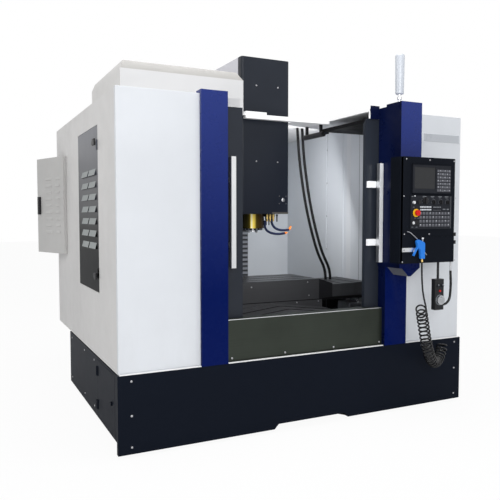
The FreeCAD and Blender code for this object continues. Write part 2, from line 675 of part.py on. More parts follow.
def front_panels():
    """The two light panels beside the pillars; the right one carries a bare band."""
    y = ("-cabinet_front", "panel_fold - cabinet_front")
    z = ("skirt_top", "cabinet_top")
    node("left_front_panel", tray(("-cabinet_half", "-pillar_left_outer"), y, z, "+y"))
    right = tray(("pillar_right_outer", "cabinet_half"), y, z, "+y")
    band = block(
        ("band_left", "band_left + band_length"),
        ("-cabinet_front - band_thickness", "-cabinet_front"),
        ("band_base", "band_base + band_height"),
    )
    node("right_front_panel", fuse(right, band))


def pillars():
    """The dark blue pillars; the right one carries the control's post, its gusset and its hinge barrels."""
    y = ("-skirt_front", PILLAR_REAR)
    z = ("skirt_top", "pillar_top")
    node("left_pillar", tray(("-pillar_left_outer", "-pillar_left_inner"), y, z, "+y"))
    pillar = tray(("pillar_right_inner", "pillar_right_outer"), y, z, "+y")
    post_front = "(-skirt_front - post_reach)"
    post = tray(("post_left", "post_right"), (post_front, "-skirt_front"), ("post_base", "post_top"), "+y")
    cheek = block(("post_left", "pillar_right_inner"), ("-skirt_front", PILLAR_REAR), ("post_base", "pillar_top"))
    gusset = prism(
        "y",
        [
            ("post_left + gusset_inset", "post_base"),
            ("(post_left + post_right) / 2 - gusset_tip / 2", "post_base - gusset_drop"),
            ("(post_left + post_right) / 2 + gusset_tip / 2", "post_base - gusset_drop"),
            ("post_right", "post_base"),
        ],
        post_front,
        "-skirt_front",
    )
    barrels = [hinge_leaf(height, SWIVEL_BEHIND, post_front) for height in BARREL_HEIGHTS]
    node("right_pillar", fuse(pillar, post, cheek, gusset, *barrels))


SWIVEL_BEHIND = "((control_depth - control_front - skirt_front - post_reach) / 2)"
BARREL_HEIGHTS = ("control_base + barrel_inset", "control_top - barrel_inset - barrel_length")


def hinge_leaf(height, low, high):
    """A barrel on the swivel's axis, with a leaf between it and the face that carries it."""
    barrel = bar("z", ("swivel_right", SWIVEL_BEHIND, height), "swivel_radius", "barrel_length")
    leaf = block(
        ("swivel_right - swivel_radius", "swivel_right + swivel_radius"),
        (low, high),
        (height, f"{height} + barrel_length"),
    )
    return fuse(barrel, leaf)


def sill():
    """The stainless sill below the doors, with its top turned back as the doors' track."""
    x = ("-pillar_left_inner", "pillar_right_inner")
    face = tray(x, ("-sill_front", "panel_fold - sill_front"), ("skirt_top", "sill_top"), "+y")
    flange = block(x, ("-sill_front", "sill_depth - sill_front"), ("sill_top - sheet_metal", "sill_top"))
    node("sill", fuse(face, flange))


def side_panels():
    """The cabinet's sides. The left one is open for the louvred door and behind the service door."""
    y = ("panel_fold - cabinet_front", "cabinet_rear")
    z = ("skirt_top", "cabinet_top")
    left = tray(("-cabinet_half", "panel_fold - cabinet_half"), y, z, "+x")
    wall = ("-cabinet_half - 1", "sheet_metal - cabinet_half + 1")
    louvre_hole = block(
        wall,
        ("-louvre_door_front", "louvre_door_length - louvre_door_front"),
        ("louvre_door_base", "louvre_door_top"),
    )
    service_hole = block(
        wall,
        ("service_door_hinge + service_bay_margin", "service_door_hinge + service_door_width - service_bay_margin"),
        ("service_door_base + service_bay_margin", "service_door_top - service_bay_margin"),
    )
    node("left_side_panel", cut(left, louvre_hole, service_hole))
    node("right_side_panel", tray(("cabinet_half - panel_fold", "cabinet_half"), y, z, "-x"))


def rear_cabinet():
    """The closed electrical cabinet on the back, and the sheets that close the back beside it."""
    panels = [
        tray(x, ("cabinet_rear - panel_fold", "cabinet_rear"), ("skirt_top", "cabinet_top"), "-y")
        for x in mirrored_spans("electrics_half", CABINET_INSIDE)
    ]
    front = "(liner_rear + liner_sheet)"
    rear = f"({front} + electrics_depth)"
    body = block(("-electrics_half", "electrics_half"), (front, rear), ("electrics_base", "electrics_top"))
    door = block(
        ("electrics_edge - electrics_half", "electrics_half - electrics_edge"),
        (rear, f"{rear} + electrics_door"),
        ("electrics_base + electrics_edge", "electrics_top - electrics_edge"),
    )
    handle = block(
        ("electrics_half - 80", "electrics_half - 55"),
        (f"{rear} + electrics_door", f"{rear} + electrics_door + 20"),
        ("(electrics_base + electrics_top) / 2 - 70", "(electrics_base + electrics_top) / 2 + 70"),
    )
    node("rear_cabinet", group(fuse(body, door, handle), *panels))


def roof_frame():
    """The roof sheets round the openings for the doors, the head and the magazine, with the cross beam."""
    front = f"({PILLAR_REAR} + slide_gap)"
    whole = tray(
        (f"-{CABINET_INSIDE}", CABINET_INSIDE), (front, "cabinet_rear - panel_fold"), ("roof_base", "cabinet_top"), "-z"
    )
    z = ("roof_base - 1", "cabinet_top + 1")
    door_bay = block(("-roof_opening_half", "roof_opening_half"), (f"{front} - 1", "-beam_front"), z)
    head_bay = block(("-cover_right - 1", "head_bay_right"), ("beam_depth - beam_front", "column_front"), z)
    column_hole = block(
        ("-column_half - column_gap", "column_half + column_gap"),
        ("column_front - 1", "column_front + column_top_depth + column_gap * 3"),
        z,
    )
    magazine_bay = block(
        ("sheet_metal - cover_left", "-cover_right"),
        ("sheet_metal - cover_front", "cover_rear - sheet_metal"),
        z,
    )
    y = ("-beam_front", "beam_depth - beam_front")
    beam = block(("-cover_right", "beam_right"), y, ("beam_base", "beam_top"))
    step = block(("-cover_right", "-beam_step_end"), y, ("beam_top", "beam_top + beam_step"))
    node("roof_frame", fuse(cut(whole, door_bay, head_bay, column_hole, magazine_bay), beam, step))


def magazine_cover():
    """The raised cover over the magazine, sloped along its upper edges and open underneath."""
    outside = prism("y", cover_outline("0", "0"), "-cover_front", "cover_rear")
    inside = prism(
        "y", cover_outline("sheet_metal", "1"), "sheet_metal - cover_front", "cover_rear - sheet_metal"
    )
    slope = prism(
        "x",
        [
            ("-cover_front - 1", "cover_shoulder"),
            ("cover_slope / 2 - cover_front", "cover_top + 1"),
            ("-cover_front - 1", "cover_top + 1"),
        ],
        "-cover_left - 1",
        "1 - cover_right",
    )
    node("magazine_cover", cut(outside, inside, slope))


def cover_outline(wall, below):
    """The magazine cover's outline across the machine, a wall's thickness in, from below the roof up."""
    return [
        (f"{wall} - cover_left", f"cabinet_top - {below}"),
        (f"-cover_right - {wall}", f"cabinet_top - {below}"),
        (f"-cover_right - {wall}", f"cover_shoulder - {wall}"),
        ("-cover_right - cover_slope", f"cover_top - {wall}"),
        ("cover_slope / 2 - cover_left", f"cover_top - {wall}"),
        (f"{wall} - cover_left", f"cover_shoulder - {wall}"),
    ]


def inner_liner():
    """The light sheets round the working space, with their upright seams, and the floor beside the bed."""
    foot = "liner_base - liner_sheet"
    roof = "cabinet_top - sheet_metal"
    rear = "liner_rear + liner_sheet"
    profile = [
        ("-liner_front", foot),
        (rear, foot),
        (rear, roof),
        ("-liner_step", roof),
        ("-liner_step", "liner_top"),
        ("-liner_front", "liner_top"),
    ]
    left = prism("x", profile, "-liner_half - liner_sheet", "-liner_half")
    right = prism("x", profile, "liner_half", "liner_half + liner_sheet")
    seams = [
        block(("liner_half - seam_depth", "liner_half"), (along, f"{along} + seam_width"), ("way_cover_top", roof))
        for along in ("-seam_ahead - seam_width", "seam_behind")
    ]
    back = block(("-liner_half", "liner_half"), ("liner_rear", rear), (foot, roof))
    floors = [
        block(x, (PILLAR_REAR, "liner_rear"), (foot, "liner_base"))
        for x in mirrored_spans("bed_half", "liner_half")
    ]
    front_floors = [
        block(x, (PILLAR_REAR, "-bed_front"), (foot, "liner_base"))
        for x in mirrored_spans("servo_size / 2 + 10", "bed_half")
    ]
    node("inner_liner", fuse(left, right, back, *seams, *floors, *front_floors))


def coolant_tank():
    """The coolant tank behind the bed, on its wheels, with its lid and the pump that stands on it."""
    front, rear = "(bed_rear + tank_behind)", "(bed_rear + tank_behind + tank_depth)"
    floor = "(castor_radius * 2)"
    tank = block(("-tank_half", "tank_half"), (front, rear), (floor, f"{floor} + tank_height"))
    lid = block(
        ("-tank_half - tank_lid", "tank_half + tank_lid"),
        (f"{front} - tank_behind / 2", f"{rear} + tank_behind / 2"),
        (f"{floor} + tank_height", f"{floor} + tank_height + tank_lid"),
    )
    wheels = [
        bar("x", (across, along, "castor_radius"), "castor_radius", "24")
        for across in ("80 - tank_half", "tank_half - 104")
        for along in (f"{front} + 45", f"{rear} - 45")
    ]
    cheeks = [
        block((across, f"{across} + 24"), (f"{along} - 12", f"{along} + 12"), ("castor_radius", floor))
        for across in ("80 - tank_half", "tank_half - 104")
        for along in (f"{front} + 45", f"{rear} - 45")
    ]
    pump = rod(
        "z",
        ("tank_half - pump_inset", f"({front} + {rear}) / 2", f"{floor} + tank_height + tank_lid"),
        "pump_radius",
        "pump_height",
    )
    node("coolant_tank", fuse(tank, lid, pump, *wheels, *cheeks))


# ---------------------------------------------------------------------------
# Doors and covers that open
# ---------------------------------------------------------------------------

def sliding_door(side):
    """One sliding door: its framed leaf with a handle, the roof part behind it, and its window."""
    name = "left" if side < 0 else "right"
    inner = "(door_travel + door_meeting_gap)"
    outer = "(door_travel + door_meeting_gap + door_width)"
    rear = "(door_thickness - door_front)"

    def across(low, high):
        return (f"-({high})", f"-({low})") if side < 0 else (low, high)

    leaf = block(across(inner, outer), ("-door_front", rear), ("sill_top + slide_gap", "door_top"))
    pane_x = across(f"{inner} + stile_width", f"{outer} - rail_width")
    opening = block(pane_x, ("-door_front - 1", f"{rear} + 1"), ("window_base", "window_top"))
    canopy_end = f"({rear} + canopy_depth)"
    canopy = block(
        across(inner, outer), (rear, canopy_end), ("canopy_base", "canopy_base + canopy_thickness")
    )
    roller = block(
        across(inner, f"{inner} + roller_width"),
        (canopy_end, f"{canopy_end} + roller_depth"),
        ("canopy_base - 10", "canopy_base + canopy_thickness"),
    )
    bar_x = across(f"{inner} + handle_inset - handle_width / 2", f"{inner} + handle_inset + handle_width / 2")
    front = "(-door_front - handle_reach)"
    bar = block(bar_x, (front, f"{front} + handle_width"), ("handle_base", "handle_top"))
    feet = [
        block(bar_x, (f"{front} + handle_width", "-door_front"), (height, f"{height} + handle_width"))
        for height in ("handle_base + handle_foot_inset", "handle_top - handle_foot_inset - handle_width")
    ]
    node(f"{name}_door", fuse(cut(leaf, opening), canopy, roller, bar, *feet))
    middle = f"({rear} - door_thickness / 2)"
    pane = block(
        pane_x, (f"{middle} - pane_thickness / 2", f"{middle} + pane_thickness / 2"), ("window_base", "window_top")
    )
    node(f"{name}_window", pane)


def louvred_door():
    """The door in the left side, pressed into two columns of louvres that open downwards."""
    x = ("-cabinet_half", "flush_thickness - cabinet_half")
    y = ("door_gap - louvre_door_front", "louvre_door_length - door_gap - louvre_door_front")
    z = ("louvre_door_base + door_gap", "louvre_door_top - door_gap")
    skin = tray(x, y, z, "+x")
    columns = []
    for column in range(2):
        start = f"louvre_inset + {column} * louvre_spacing - louvre_door_front"
        points = [("-cabinet_half", "louvre_base")]
        for row in range(int(size["louvre_rows"])):
            foot = f"louvre_base + {row} * louvre_pitch"
            points += [("-cabinet_half - louvre_depth", foot), ("-cabinet_half", f"{foot} + louvre_height")]
            if row + 1 < int(size["louvre_rows"]):
                points.append(("-cabinet_half", f"{foot} + louvre_pitch"))
        points.append(("-cabinet_half + sheet_metal / 2", points[-1][1]))
        points.append(("-cabinet_half + sheet_metal / 2", "louvre_base"))
        columns.append(prism("y", points, start, f"{start} + louvre_length"))
    pins = [
        bar("z", ("-cabinet_half - hinge_radius", y[0], height), "hinge_radius", "pin_length", 8)
        for height in ("louvre_door_base + pin_inset", "louvre_door_top - pin_inset - pin_length")
    ]
    lugs = [
        block(
            ("-cabinet_half - hinge_radius", "-cabinet_half"),
            (y[0], f"{y[0]} + pin_lug"),
            (height, f"{height} + pin_length"),
        )
        for height in ("louvre_door_base + pin_inset", "louvre_door_top - pin_inset - pin_length")
    ]
    node("louvred_door", fuse(skin, *columns, *pins, *lugs))


def service_door():
    """The service door at the rear of the left side, standing open, with its latch handle."""
    outer, inner = "(hinge_radius - slide_gap - service_door_depth)", "(hinge_radius - slide_gap)"
    z = ("service_door_base", "service_door_top")
    skin = tray((outer, inner), ("0", "service_door_width"), z, "+x")
    middle = "(service_door_base + service_door_top) / 2"
    latch = block(
        (f"{outer} - latch_depth", outer),
        ("service_door_width - latch_inset - latch_width", "service_door_width - latch_inset"),
        (f"{middle} - latch_height / 2", f"{middle} + latch_height / 2"),
    )
    barrels = [
        bar("z", ("0", "0", height), "(hinge_radius - slide_gap)", "pin_length", 8)
        for height in ("service_door_base + pin_inset", "service_door_top - pin_inset - pin_length")
    ]
    door = fuse(skin, latch, *barrels)
    door.Placement = FreeCAD.Placement(Vector(), Rotation(Vector(0, 0, 1), size["service_door_open"]))
    for axis, formula in (("x", "-cabinet_half - hinge_radius"), ("y", "service_door_hinge")):
        door.setExpression(f"Placement.Base.{axis}", bound(formula))
    door.setExpression("Placement.Rotation.Angle", bound("service_door_open * 1 deg"))
    node("service_door", door)


def skirt_hatch():
    """The hatch in the left skirt, with its two hinge barrels and its latch."""
    face = f"-{SIDE_SKIRT}"
    y = ("door_gap - hatch_front", "(hatch_length - door_gap - hatch_front)")
    z = ("hatch_base + door_gap", "hatch_top - door_gap")
    skin = tray((face, f"flush_thickness {face}"), y, z, "+x")
    heights = ("hatch_base + pin_inset / 2", "hatch_top - pin_inset / 2 - pin_length")
    barrels = [bar("z", (f"{face} - hinge_radius", y[1], height), "hinge_radius", "pin_length", 8) for height in heights]
    lugs = [
        block((f"{face} - hinge_radius", face), (f"{y[1]} - pin_lug", y[1]), (height, f"{height} + pin_length"))
        for height in heights
    ]
    latch = bar(
        "x",
        (f"{face} - latch_depth / 2", "hatch_latch_inset - hatch_front", "(hatch_base + hatch_top) / 2"),
        "latch_radius",
        "latch_depth / 2 + sheet_metal / 2",
    )
    node("skirt_hatch", fuse(skin, latch, *barrels, *lugs))


# ---------------------------------------------------------------------------
# Bed, column and what is fixed to them
# ---------------------------------------------------------------------------

def corners():
    """The signs of the four corners: across, then along."""
    return [(across, along) for across in (-1, 1) for along in (-1, 1)]


def levelling_feet():
    """Four corner sole plates, each with an anchor hole and a levelling screw up to the bed's lug."""
    feet = []
    for across, along in corners():
        x, y = f"({across} * foot_spacing_across / 2)", f"({along} * foot_spacing_deep / 2)"
        middle = f"({x} - {across} * jack_offset / 2)"
        plate = block(
            (f"{middle} - foot_length / 2", f"{middle} + foot_length / 2"),
            (f"{y} - foot_width / 2", f"{y} + foot_width / 2"),
            ("0", "foot_thickness"),
        )
        hole = rod("z", (x, y, "-1"), "anchor_radius", "foot_thickness + 2")
        jack = f"({x} - {across} * jack_offset)"
        screw = bar("z", (jack, y, "foot_thickness"), "jack_radius", "(bed_base - foot_thickness)", 6)
        feet.append(fuse(cut(plate, hole), screw))
    node("levelling_feet", group(*feet))


def bed_outline():
    """The bed's outline across the machine: straight flanks, two ways and the trough between them."""
    right = [
        ("bed_half", "bed_base"),
        ("bed_half", "bed_top"),
        ("way_centre + way_width / 2", "bed_top"),
        ("way_centre + way_width / 2", "bed_top + way_height"),
        ("way_centre - way_width / 2", "bed_top + way_height"),
        ("way_centre - way_width / 2", "bed_top"),
        ("trough_half", "bed_top"),
        ("trough_half", "bed_top - trough_depth"),
    ]
    return right + [(f"-({across})", up) for across, up in reversed(right)]


def bed_casting():
    """The bed: a casting that is hollow underneath, with foot lugs, ways for the saddle and screw bearings."""
    ways_end = "(column_front - lift_way_height)"
    front = prism("y", bed_outline(), "-bed_front", ways_end)
    seat = block(("-bed_half", "bed_half"), (ways_end, "bed_rear"), ("bed_base", "bed_top"))
    bay = block(
        ("bed_wall - bed_half", "bed_half - bed_wall"),
        ("bed_wall - bed_front", "bed_rear - bed_wall"),
        ("bed_base - 1", "bed_top - trough_depth - bed_wall"),
    )
    lugs = []
    for across, along in corners():
        y = f"({along} * foot_spacing_deep / 2)"
        outer = "(foot_spacing_across / 2 - jack_offset + lug_reach)"
        x = ("bed_half", outer) if across > 0 else (f"-{outer}", "-bed_half")
        lugs.append(block(x, (f"{y} - lug_width / 2", f"{y} + lug_width / 2"), ("bed_base", "bed_base + lug_height")))
    bearings = [
        screw_block("y", "0", f"({along})", "bed_top - feed_screw_drop", "bearing_length", "trough_depth - feed_screw_drop")
        for along in ("-bed_front", f"{ways_end} - bearing_length")
    ]
    node("bed_casting", fuse(cut(fuse(front, seat), bay), *lugs, *bearings))


def screw_block(axis, x, y, z, length, below, above="feed_screw_drop"):
    """A bearing or nut block round a screw that runs along X or Y, from its start on that axis."""
    half = "(nut_radius + 10)"
    if axis == "y":
        span_x, span_y = (f"{x} - {half}", f"{x} + {half}"), (y, f"{y} + {length}")
        bore = rod("y", (x, f"{y} - 1", z), "screw_radius + slide_gap", f"{length} + 2")
    else:
        span_x, span_y = (x, f"{x} + {length}"), (f"{y} - {half}", f"{y} + {half}")
        bore = rod("x", (f"{x} - 1", y, z), "screw_radius + slide_gap", f"{length} + 2")
    return cut(block(span_x, span_y, (f"{z} - ({below})", f"{z} + ({above})")), bore)


def column_casting():
    """The column with its ways and screw channel, and the bracket for the magazine and the arm's cam box."""
    side = [
        ("column_front", "bed_top"),
        ("column_front + column_depth", "bed_top"),
        ("column_front + column_top_depth", "column_top"),
        ("column_front", "column_top"),
    ]
    body = prism("x", side, "-column_half", "column_half")
    channel = block(
        ("-trough_half", "trough_half"),
        ("column_front - 1", "column_front + trough_depth"),
        ("bed_top + column_foot", "column_top - column_head"),
    )
    ways = [
        block(x, ("column_front - lift_way_height", "column_front"), ("bed_top", "column_top"))
        for x in mirrored_spans("lift_way_inner", "lift_way_outer")
    ]
    screw_y = "column_front + lift_screw_setback"
    holes = [
        rod("z", ("0", screw_y, height), "screw_radius + slide_gap", length)
        for height, length in (
            ("column_top - column_head - 1", "column_head + 2"),
            ("bed_top + column_foot / 2", "column_foot / 2 + 1"),
        )
    ]
    node("column_casting", fuse(cut(fuse(body, *ways), channel, *holes), *magazine_bracket(), *arm_cam_box()))


BRACKET_REAR = "(column_front + bracket_depth)"
BRACKET_RIGHT = "(disc_thickness + bracket_plate * 2 - magazine_left)"
BRACKET_LEFT = "(disc_thickness + bracket_plate - magazine_left)"


def magazine_bracket():
    """The bracket from the column to the magazine's axis, with the boss that its hub turns on."""
    z = ("magazine_height - bracket_half", "magazine_height + bracket_half")
    arm = block((BRACKET_RIGHT, "-column_half"), ("column_front + bracket_plate / 2", BRACKET_REAR), z)
    plate = block((BRACKET_LEFT, BRACKET_RIGHT), ("magazine_behind - bracket_half", BRACKET_REAR), z)
    boss = bar(
        "x",
        ("slide_gap - magazine_left", "magazine_behind", "magazine_height"),
        "boss_radius",
        "(disc_thickness + bracket_plate - slide_gap)",
    )
    return [arm, plate, boss]


def arm_cam_box():
    """The closed cam box that turns the tool arm, hung from the magazine's bracket by a plate."""
    top = "(magazine_height - bracket_half - cam_drop)"
    x = ("-arm_left - cam_half", "cam_half - arm_left")
    front = "-spindle_ahead - cam_half"
    box = block(x, (front, "cam_half - spindle_ahead"), ("arm_top + arm_shaft", top))
    hanger = block((x[0], f"{x[0]} + bracket_plate"), (front, BRACKET_REAR), (top, "magazine_height - bracket_half"))
    link = block(
        (BRACKET_LEFT, f"{x[0]} + bracket_plate"),
        ("column_front + bracket_plate / 2", BRACKET_REAR),
        ("magazine_height - bracket_half - bracket_plate", "magazine_height - bracket_half"),
    )
    return [box, hanger, link]


def servo(axis, start, centre, size_word="servo_size", length="servo_length"):
    """A square feed motor with its flange, from its start along an axis, centred on two formulas."""
    half = f"{size_word} / 2"
    flange, barrel = [], []
    others = iter(centre)
    for letter in "xyz":
        if letter == axis:
            flange.append((start, f"{start} + servo_flange"))
            barrel.append((f"{start} + servo_flange", f"{start} + {length}"))
        else:
            middle = next(others)
            flange.append((f"{middle} - {half}", f"{middle} + {half}"))
            barrel.append((f"{middle} - {half} + servo_edge", f"{middle} + {half} - servo_edge"))
    return fuse(block(*flange), block(*barrel))


def axis_motors():
    """The feed motors on the front of the bed and on top of the column."""
    height = "(bed_top - feed_screw_drop)"
    flange = block(
        ("-servo_size / 2", "servo_size / 2"),
        ("-bed_front - servo_flange", "-bed_front"),
        (f"{height} - servo_size / 2", f"{height} + servo_size / 2"),
    )
    barrel = block(
        ("servo_edge - servo_size / 2", "servo_size / 2 - servo_edge"),
        ("-bed_front - servo_length", "-bed_front - servo_flange"),
        (f"{height} - servo_size / 2 + servo_edge", f"{height} + servo_size / 2 - servo_edge"),
    )
    lift = servo("z", "column_top", ("0", "(column_front + lift_screw_setback)"))
    node("axis_motors", group(fuse(flange, barrel), lift))


def z_way_cover():
    """The stepped steel cover over the column's ways, under the head."""
    rows = 20
    foot = "(bed_top + way_height + slide_gap)"
    step = f"((head_base - cover_head_gap - {foot}) / {rows})"
    back = "column_front - lift_way_height - slide_gap"
    profile = [(back, foot)]
    for row in range(rows):
        profile.append(("column_front - lift_way_height - hood_depth", f"{foot} + {row} * {step}"))
        profile.append(("column_front - lift_way_height - hood_depth / 2", f"{foot} + {row + 1} * {step}"))
    profile.append((back, f"{foot} + {rows} * {step}"))
    node("z_way_cover", prism("x", profile, "-lift_way_outer", "lift_way_outer"))


def hood(half, foot, eaves, ridge):
    """The outline of a thin hood with a low ridge."""
    inner = f"({half} - sheet_metal)"
    return [
        (f"-{half}", foot),
        (f"-{half}", eaves),
        ("0", ridge),
        (half, eaves),
        (half, foot),
        (inner, foot),
        (inner, f"{eaves} - sheet_metal"),
        ("0", f"{ridge} - sheet_metal"),
        (f"-{inner}", f"{eaves} - sheet_metal"),
        (f"-{inner}", foot),
    ]


SADDLE_FRONT = "(-table_ahead - saddle_depth / 2)"
SADDLE_REAR = "(saddle_depth / 2 - table_ahead)"


def y_way_cover():
    """The telescopic cover ahead of the saddle: four nested hoods with a low ridge."""
    hoods = []
    run = f"(({SADDLE_FRONT} + sill_front - panel_fold) / 4)"
    ridge = f"({SADDLE_TOP} - 10)"
    for step in range(4):
        less = f"{step} * (sheet_metal + 0.5)"
        rear = f"{SADDLE_FRONT} - {step} * {run}" + (" + hood_lap" if step else "")
        front = f"{SADDLE_FRONT} - {step + 1} * {run}"
        points = hood(f"(saddle_half - {less})", "liner_base", f"{ridge} - hood_fall - {less}", f"{ridge} - {less}")
        hoods.append(prism("y", points, front, rear))
    node("y_way_cover", group(*hoods))


def lamps():
    """The tubular work lamp on its brackets under the roof, and the signal lamp on its stem on the post."""
    tube = bar("y", ("lamp_right", "-lamp_front", "lamp_height"), "lamp_radius", "lamp_length", 16)
    brackets = [
        block(
            ("lamp_right - 10", "lamp_right + 10"),
            (start, f"{start} + 16"),
            ("lamp_height", "cabinet_top - sheet_metal"),
        )
        for start in ("lamp_inset - lamp_front", "lamp_length - lamp_inset - 16 - lamp_front")
    ]
    node("work_lamp", fuse(tube, *brackets))
    y = "-skirt_front - signal_ahead"
    stem = bar("z", ("signal_right", y, "post_top"), "stem_radius", "(signal_base - post_top)")
    lens = bar("z", ("signal_right", y, "signal_base"), "signal_radius", "signal_height", 24)
    lens.Tip.setExpression("TaperAngle", bound("-atan((signal_radius - signal_top_radius) / signal_height)"))
    node("signal_lamp", fuse(stem, lens))


# ---------------------------------------------------------------------------
# Saddle, table, head and feed screws
# ---------------------------------------------------------------------------

CROSS_SCREW = f"({TABLE_BASE} - cross_screw_drop)"


GUARD_FRONT = f"({TABLE_FRONT} - guard_ahead)"


def saddle_casting():
    """The saddle: ways for the table on top, a nut for the bed's screw and bearings for the table's screw."""
    bevel = "saddle_bevel"
    side = [
        (SADDLE_FRONT, SADDLE_BASE),
        (SADDLE_REAR, SADDLE_BASE),
        (SADDLE_REAR, f"{SADDLE_TOP} - {bevel}"),
        (f"{SADDLE_REAR} - {bevel}", SADDLE_TOP),
        (f"{SADDLE_FRONT} + {bevel}", SADDLE_TOP),
        (SADDLE_FRONT, f"{SADDLE_TOP} - {bevel}"),
    ]
    body = prism("x", side, "-saddle_half", "saddle_half")
    ways = [
        block(
            ("-saddle_half", "saddle_half"),
            (f"{centre} - table_ahead - cross_way_width / 2", f"{centre} - table_ahead + cross_way_width / 2"),
            (SADDLE_TOP, f"{SADDLE_TOP} + cross_way_height"),
        )
        for centre in ("-cross_way_centre", "cross_way_centre")
    ]
    nut = screw_block(
        "y", "0", "(-table_ahead - nut_length / 2)", "bed_top - feed_screw_drop", "nut_length", "nut_radius",
        f"{SADDLE_BASE} - bed_top + feed_screw_drop",
    )
    bearings = [
        screw_block("x", x, "-table_ahead", CROSS_SCREW, "bearing_length", f"{CROSS_SCREW} - {SADDLE_TOP}", "bearing_top")
        for x in ("-saddle_half", "(saddle_half - bearing_length)")
    ]
    rail_top = "(way_cover_top - way_cover_height)"
    rails = [
        block(x, y, (f"{rail_top} - cover_rail_height", rail_top))
        for x in (("-way_cover_end", "30 - saddle_half"), ("saddle_half - 30", "way_cover_end"))
        for y in ((f"{GUARD_FRONT} + 5", f"{GUARD_FRONT} + 24"), (f"{TABLE_REAR} - 24", f"{TABLE_REAR} - 2"))
    ]
    node("saddle_casting", fuse(body, *ways, nut, *bearings, *rails))


def x_motor():
    """The table's feed motor on the right end of the saddle; its flange is the case of the belt to the screw."""
    middle = f"({TABLE_BASE} - servo_drop - servo_size / 2)"
    node("x_motor", servo("x", "saddle_half", ("-table_ahead", middle)))


def x_way_covers():
    """The telescopic covers beside the table: three nested channels on each side, open underneath."""
    channels = []
    start = "(table_length / 2 + guard_overhang - hood_lap)"
    run = f"((way_cover_end - {start}) / 3)"
    for side in (-1, 1):
        for step in range(3):
            less = f"(sheet_metal + 0.5) * {3 - step}"
            low = f"{start} + {step} * {run}"
            high = f"{start} + {step + 1} * {run}" + (" + hood_lap" if step < 2 else "")
            x = (low, high) if side > 0 else (f"-({high})", f"-({low})")
            y = (f"{GUARD_FRONT} + {less}", f"{TABLE_REAR} - {less}")
            z = ("way_cover_top - way_cover_height", f"way_cover_top - {less}")
            channels.append(tray(x, y, z, "-x+x-z"))
    node("x_way_covers", group(*channels))


def work_table():
    """The table with its three T-slots, and its nut for the cross screw."""
    points = [(TABLE_FRONT, TABLE_BASE), (TABLE_REAR, TABLE_BASE), (TABLE_REAR, TABLE_TOP)]
    neck = f"({TABLE_TOP} - slot_neck)"
    foot = f"({neck} - slot_foot_height)"
    for slot in (1, 0, -1):
        centre = f"({slot} * slot_pitch - table_ahead)"
        points += [
            (f"{centre} + slot_width / 2", TABLE_TOP),
            (f"{centre} + slot_width / 2", neck),
            (f"{centre} + slot_foot_width / 2", neck),
            (f"{centre} + slot_foot_width / 2", foot),
            (f"{centre} - slot_foot_width / 2", foot),
            (f"{centre} - slot_foot_width / 2", neck),
            (f"{centre} - slot_width / 2", neck),
            (f"{centre} - slot_width / 2", TABLE_TOP),
        ]
    points.append((TABLE_FRONT, TABLE_TOP))
    slab = prism("x", points, "-table_length / 2", "table_length / 2")
    nut = screw_block(
        "x", "(-nut_length / 2)", "-table_ahead", CROSS_SCREW, "nut_length", "screw_radius + 6", "cross_screw_drop"
    )
    node("work_table", fuse(slab, nut))


def table_guard():
    """The sheet guard along the table's front, with a sloped hood at each end over the cross covers."""
    end = "(table_length / 2 + guard_overhang)"
    half = "(table_length / 2)"
    foot = "(way_cover_top - way_cover_height)"
    face = prism(
        "y",
        [
            (f"-{end}", foot),
            (f"-{half}", f"{TABLE_TOP} - guard_height"),
            (half, f"{TABLE_TOP} - guard_height"),
            (end, foot),
            (end, "way_cover_top"),
            (half, TABLE_TOP),
            (f"-{half}", TABLE_TOP),
            (f"-{end}", "way_cover_top"),
        ],
        GUARD_FRONT,
        f"{GUARD_FRONT} + sheet_metal",
    )
    spacer = block((f"-{half}", half), (f"{GUARD_FRONT} + sheet_metal", TABLE_FRONT), (f"{TABLE_TOP} - 40", f"{TABLE_TOP} - 20"))
    rear = f"({TABLE_REAR} + sheet_metal)"
    hoods = []
    for side in (-1, 1):
        points = [
            (f"{side} * {half}", TABLE_TOP),
            (f"{side} * {end}", "way_cover_top"),
            (f"{side} * {end}", "way_cover_top - sheet_metal"),
            (f"{side} * {half}", f"{TABLE_TOP} - sheet_metal"),
        ]
        hoods.append(prism("y", points, GUARD_FRONT, rear))
        x = (half, end) if side > 0 else (f"-{end}", f"-{half}")
        hoods.append(block(x, (TABLE_REAR, rear), (foot, "way_cover_top - 1")))
    node("table_guard", fuse(face, spacer, *hoods))


SLIDE_FACE = "(column_front - lift_way_height - slide_gap)"


def head_casting():
    """The head: a nose block round the cartridge, tapering back to its slide plate, with the spindle motor on top."""
    side = [
        ("-spindle_ahead - head_nose", "head_base"),
        (SLIDE_FACE, "head_base"),
        (SLIDE_FACE, "head_top"),
        ("motor_radius - spindle_ahead + head_ledge", "head_top"),
        ("-spindle_ahead - head_nose", "head_top - head_fall"),
    ]
    body = prism("x", side, "-head_half", "head_half")
    slide = block(
        ("-lift_way_outer", "lift_way_outer"), (f"{SLIDE_FACE} - slide_plate", SLIDE_FACE), ("head_base", "head_top")
    )
    seat = block(
        ("-motor_radius", "motor_radius"),
        ("-spindle_ahead - motor_radius", "motor_radius - spindle_ahead"),
        ("head_top - head_fall", "head_top"),
    )
    bore = rod("z", ("0", "-spindle_ahead", "head_base - 1"), "barrel_radius", "head_bore + 1")
    screw_y = "(column_front + lift_screw_setback)"
    nut = cut(
        block(
            ("-nut_radius - 10", "nut_radius + 10"),
            (SLIDE_FACE, f"{screw_y} + nut_radius"),
            ("head_base + nut_lift", "head_base + nut_lift + nut_length"),
        ),
        rod("z", ("0", screw_y, "head_base + nut_lift - 1"), "screw_radius + slide_gap", "nut_length + 2"),
    )
    motor = rod("z", ("0", "-spindle_ahead", "head_top"), "motor_radius", "motor_height")
    node("head_casting", fuse(cut(fuse(body, slide, seat), bore), nut, motor))


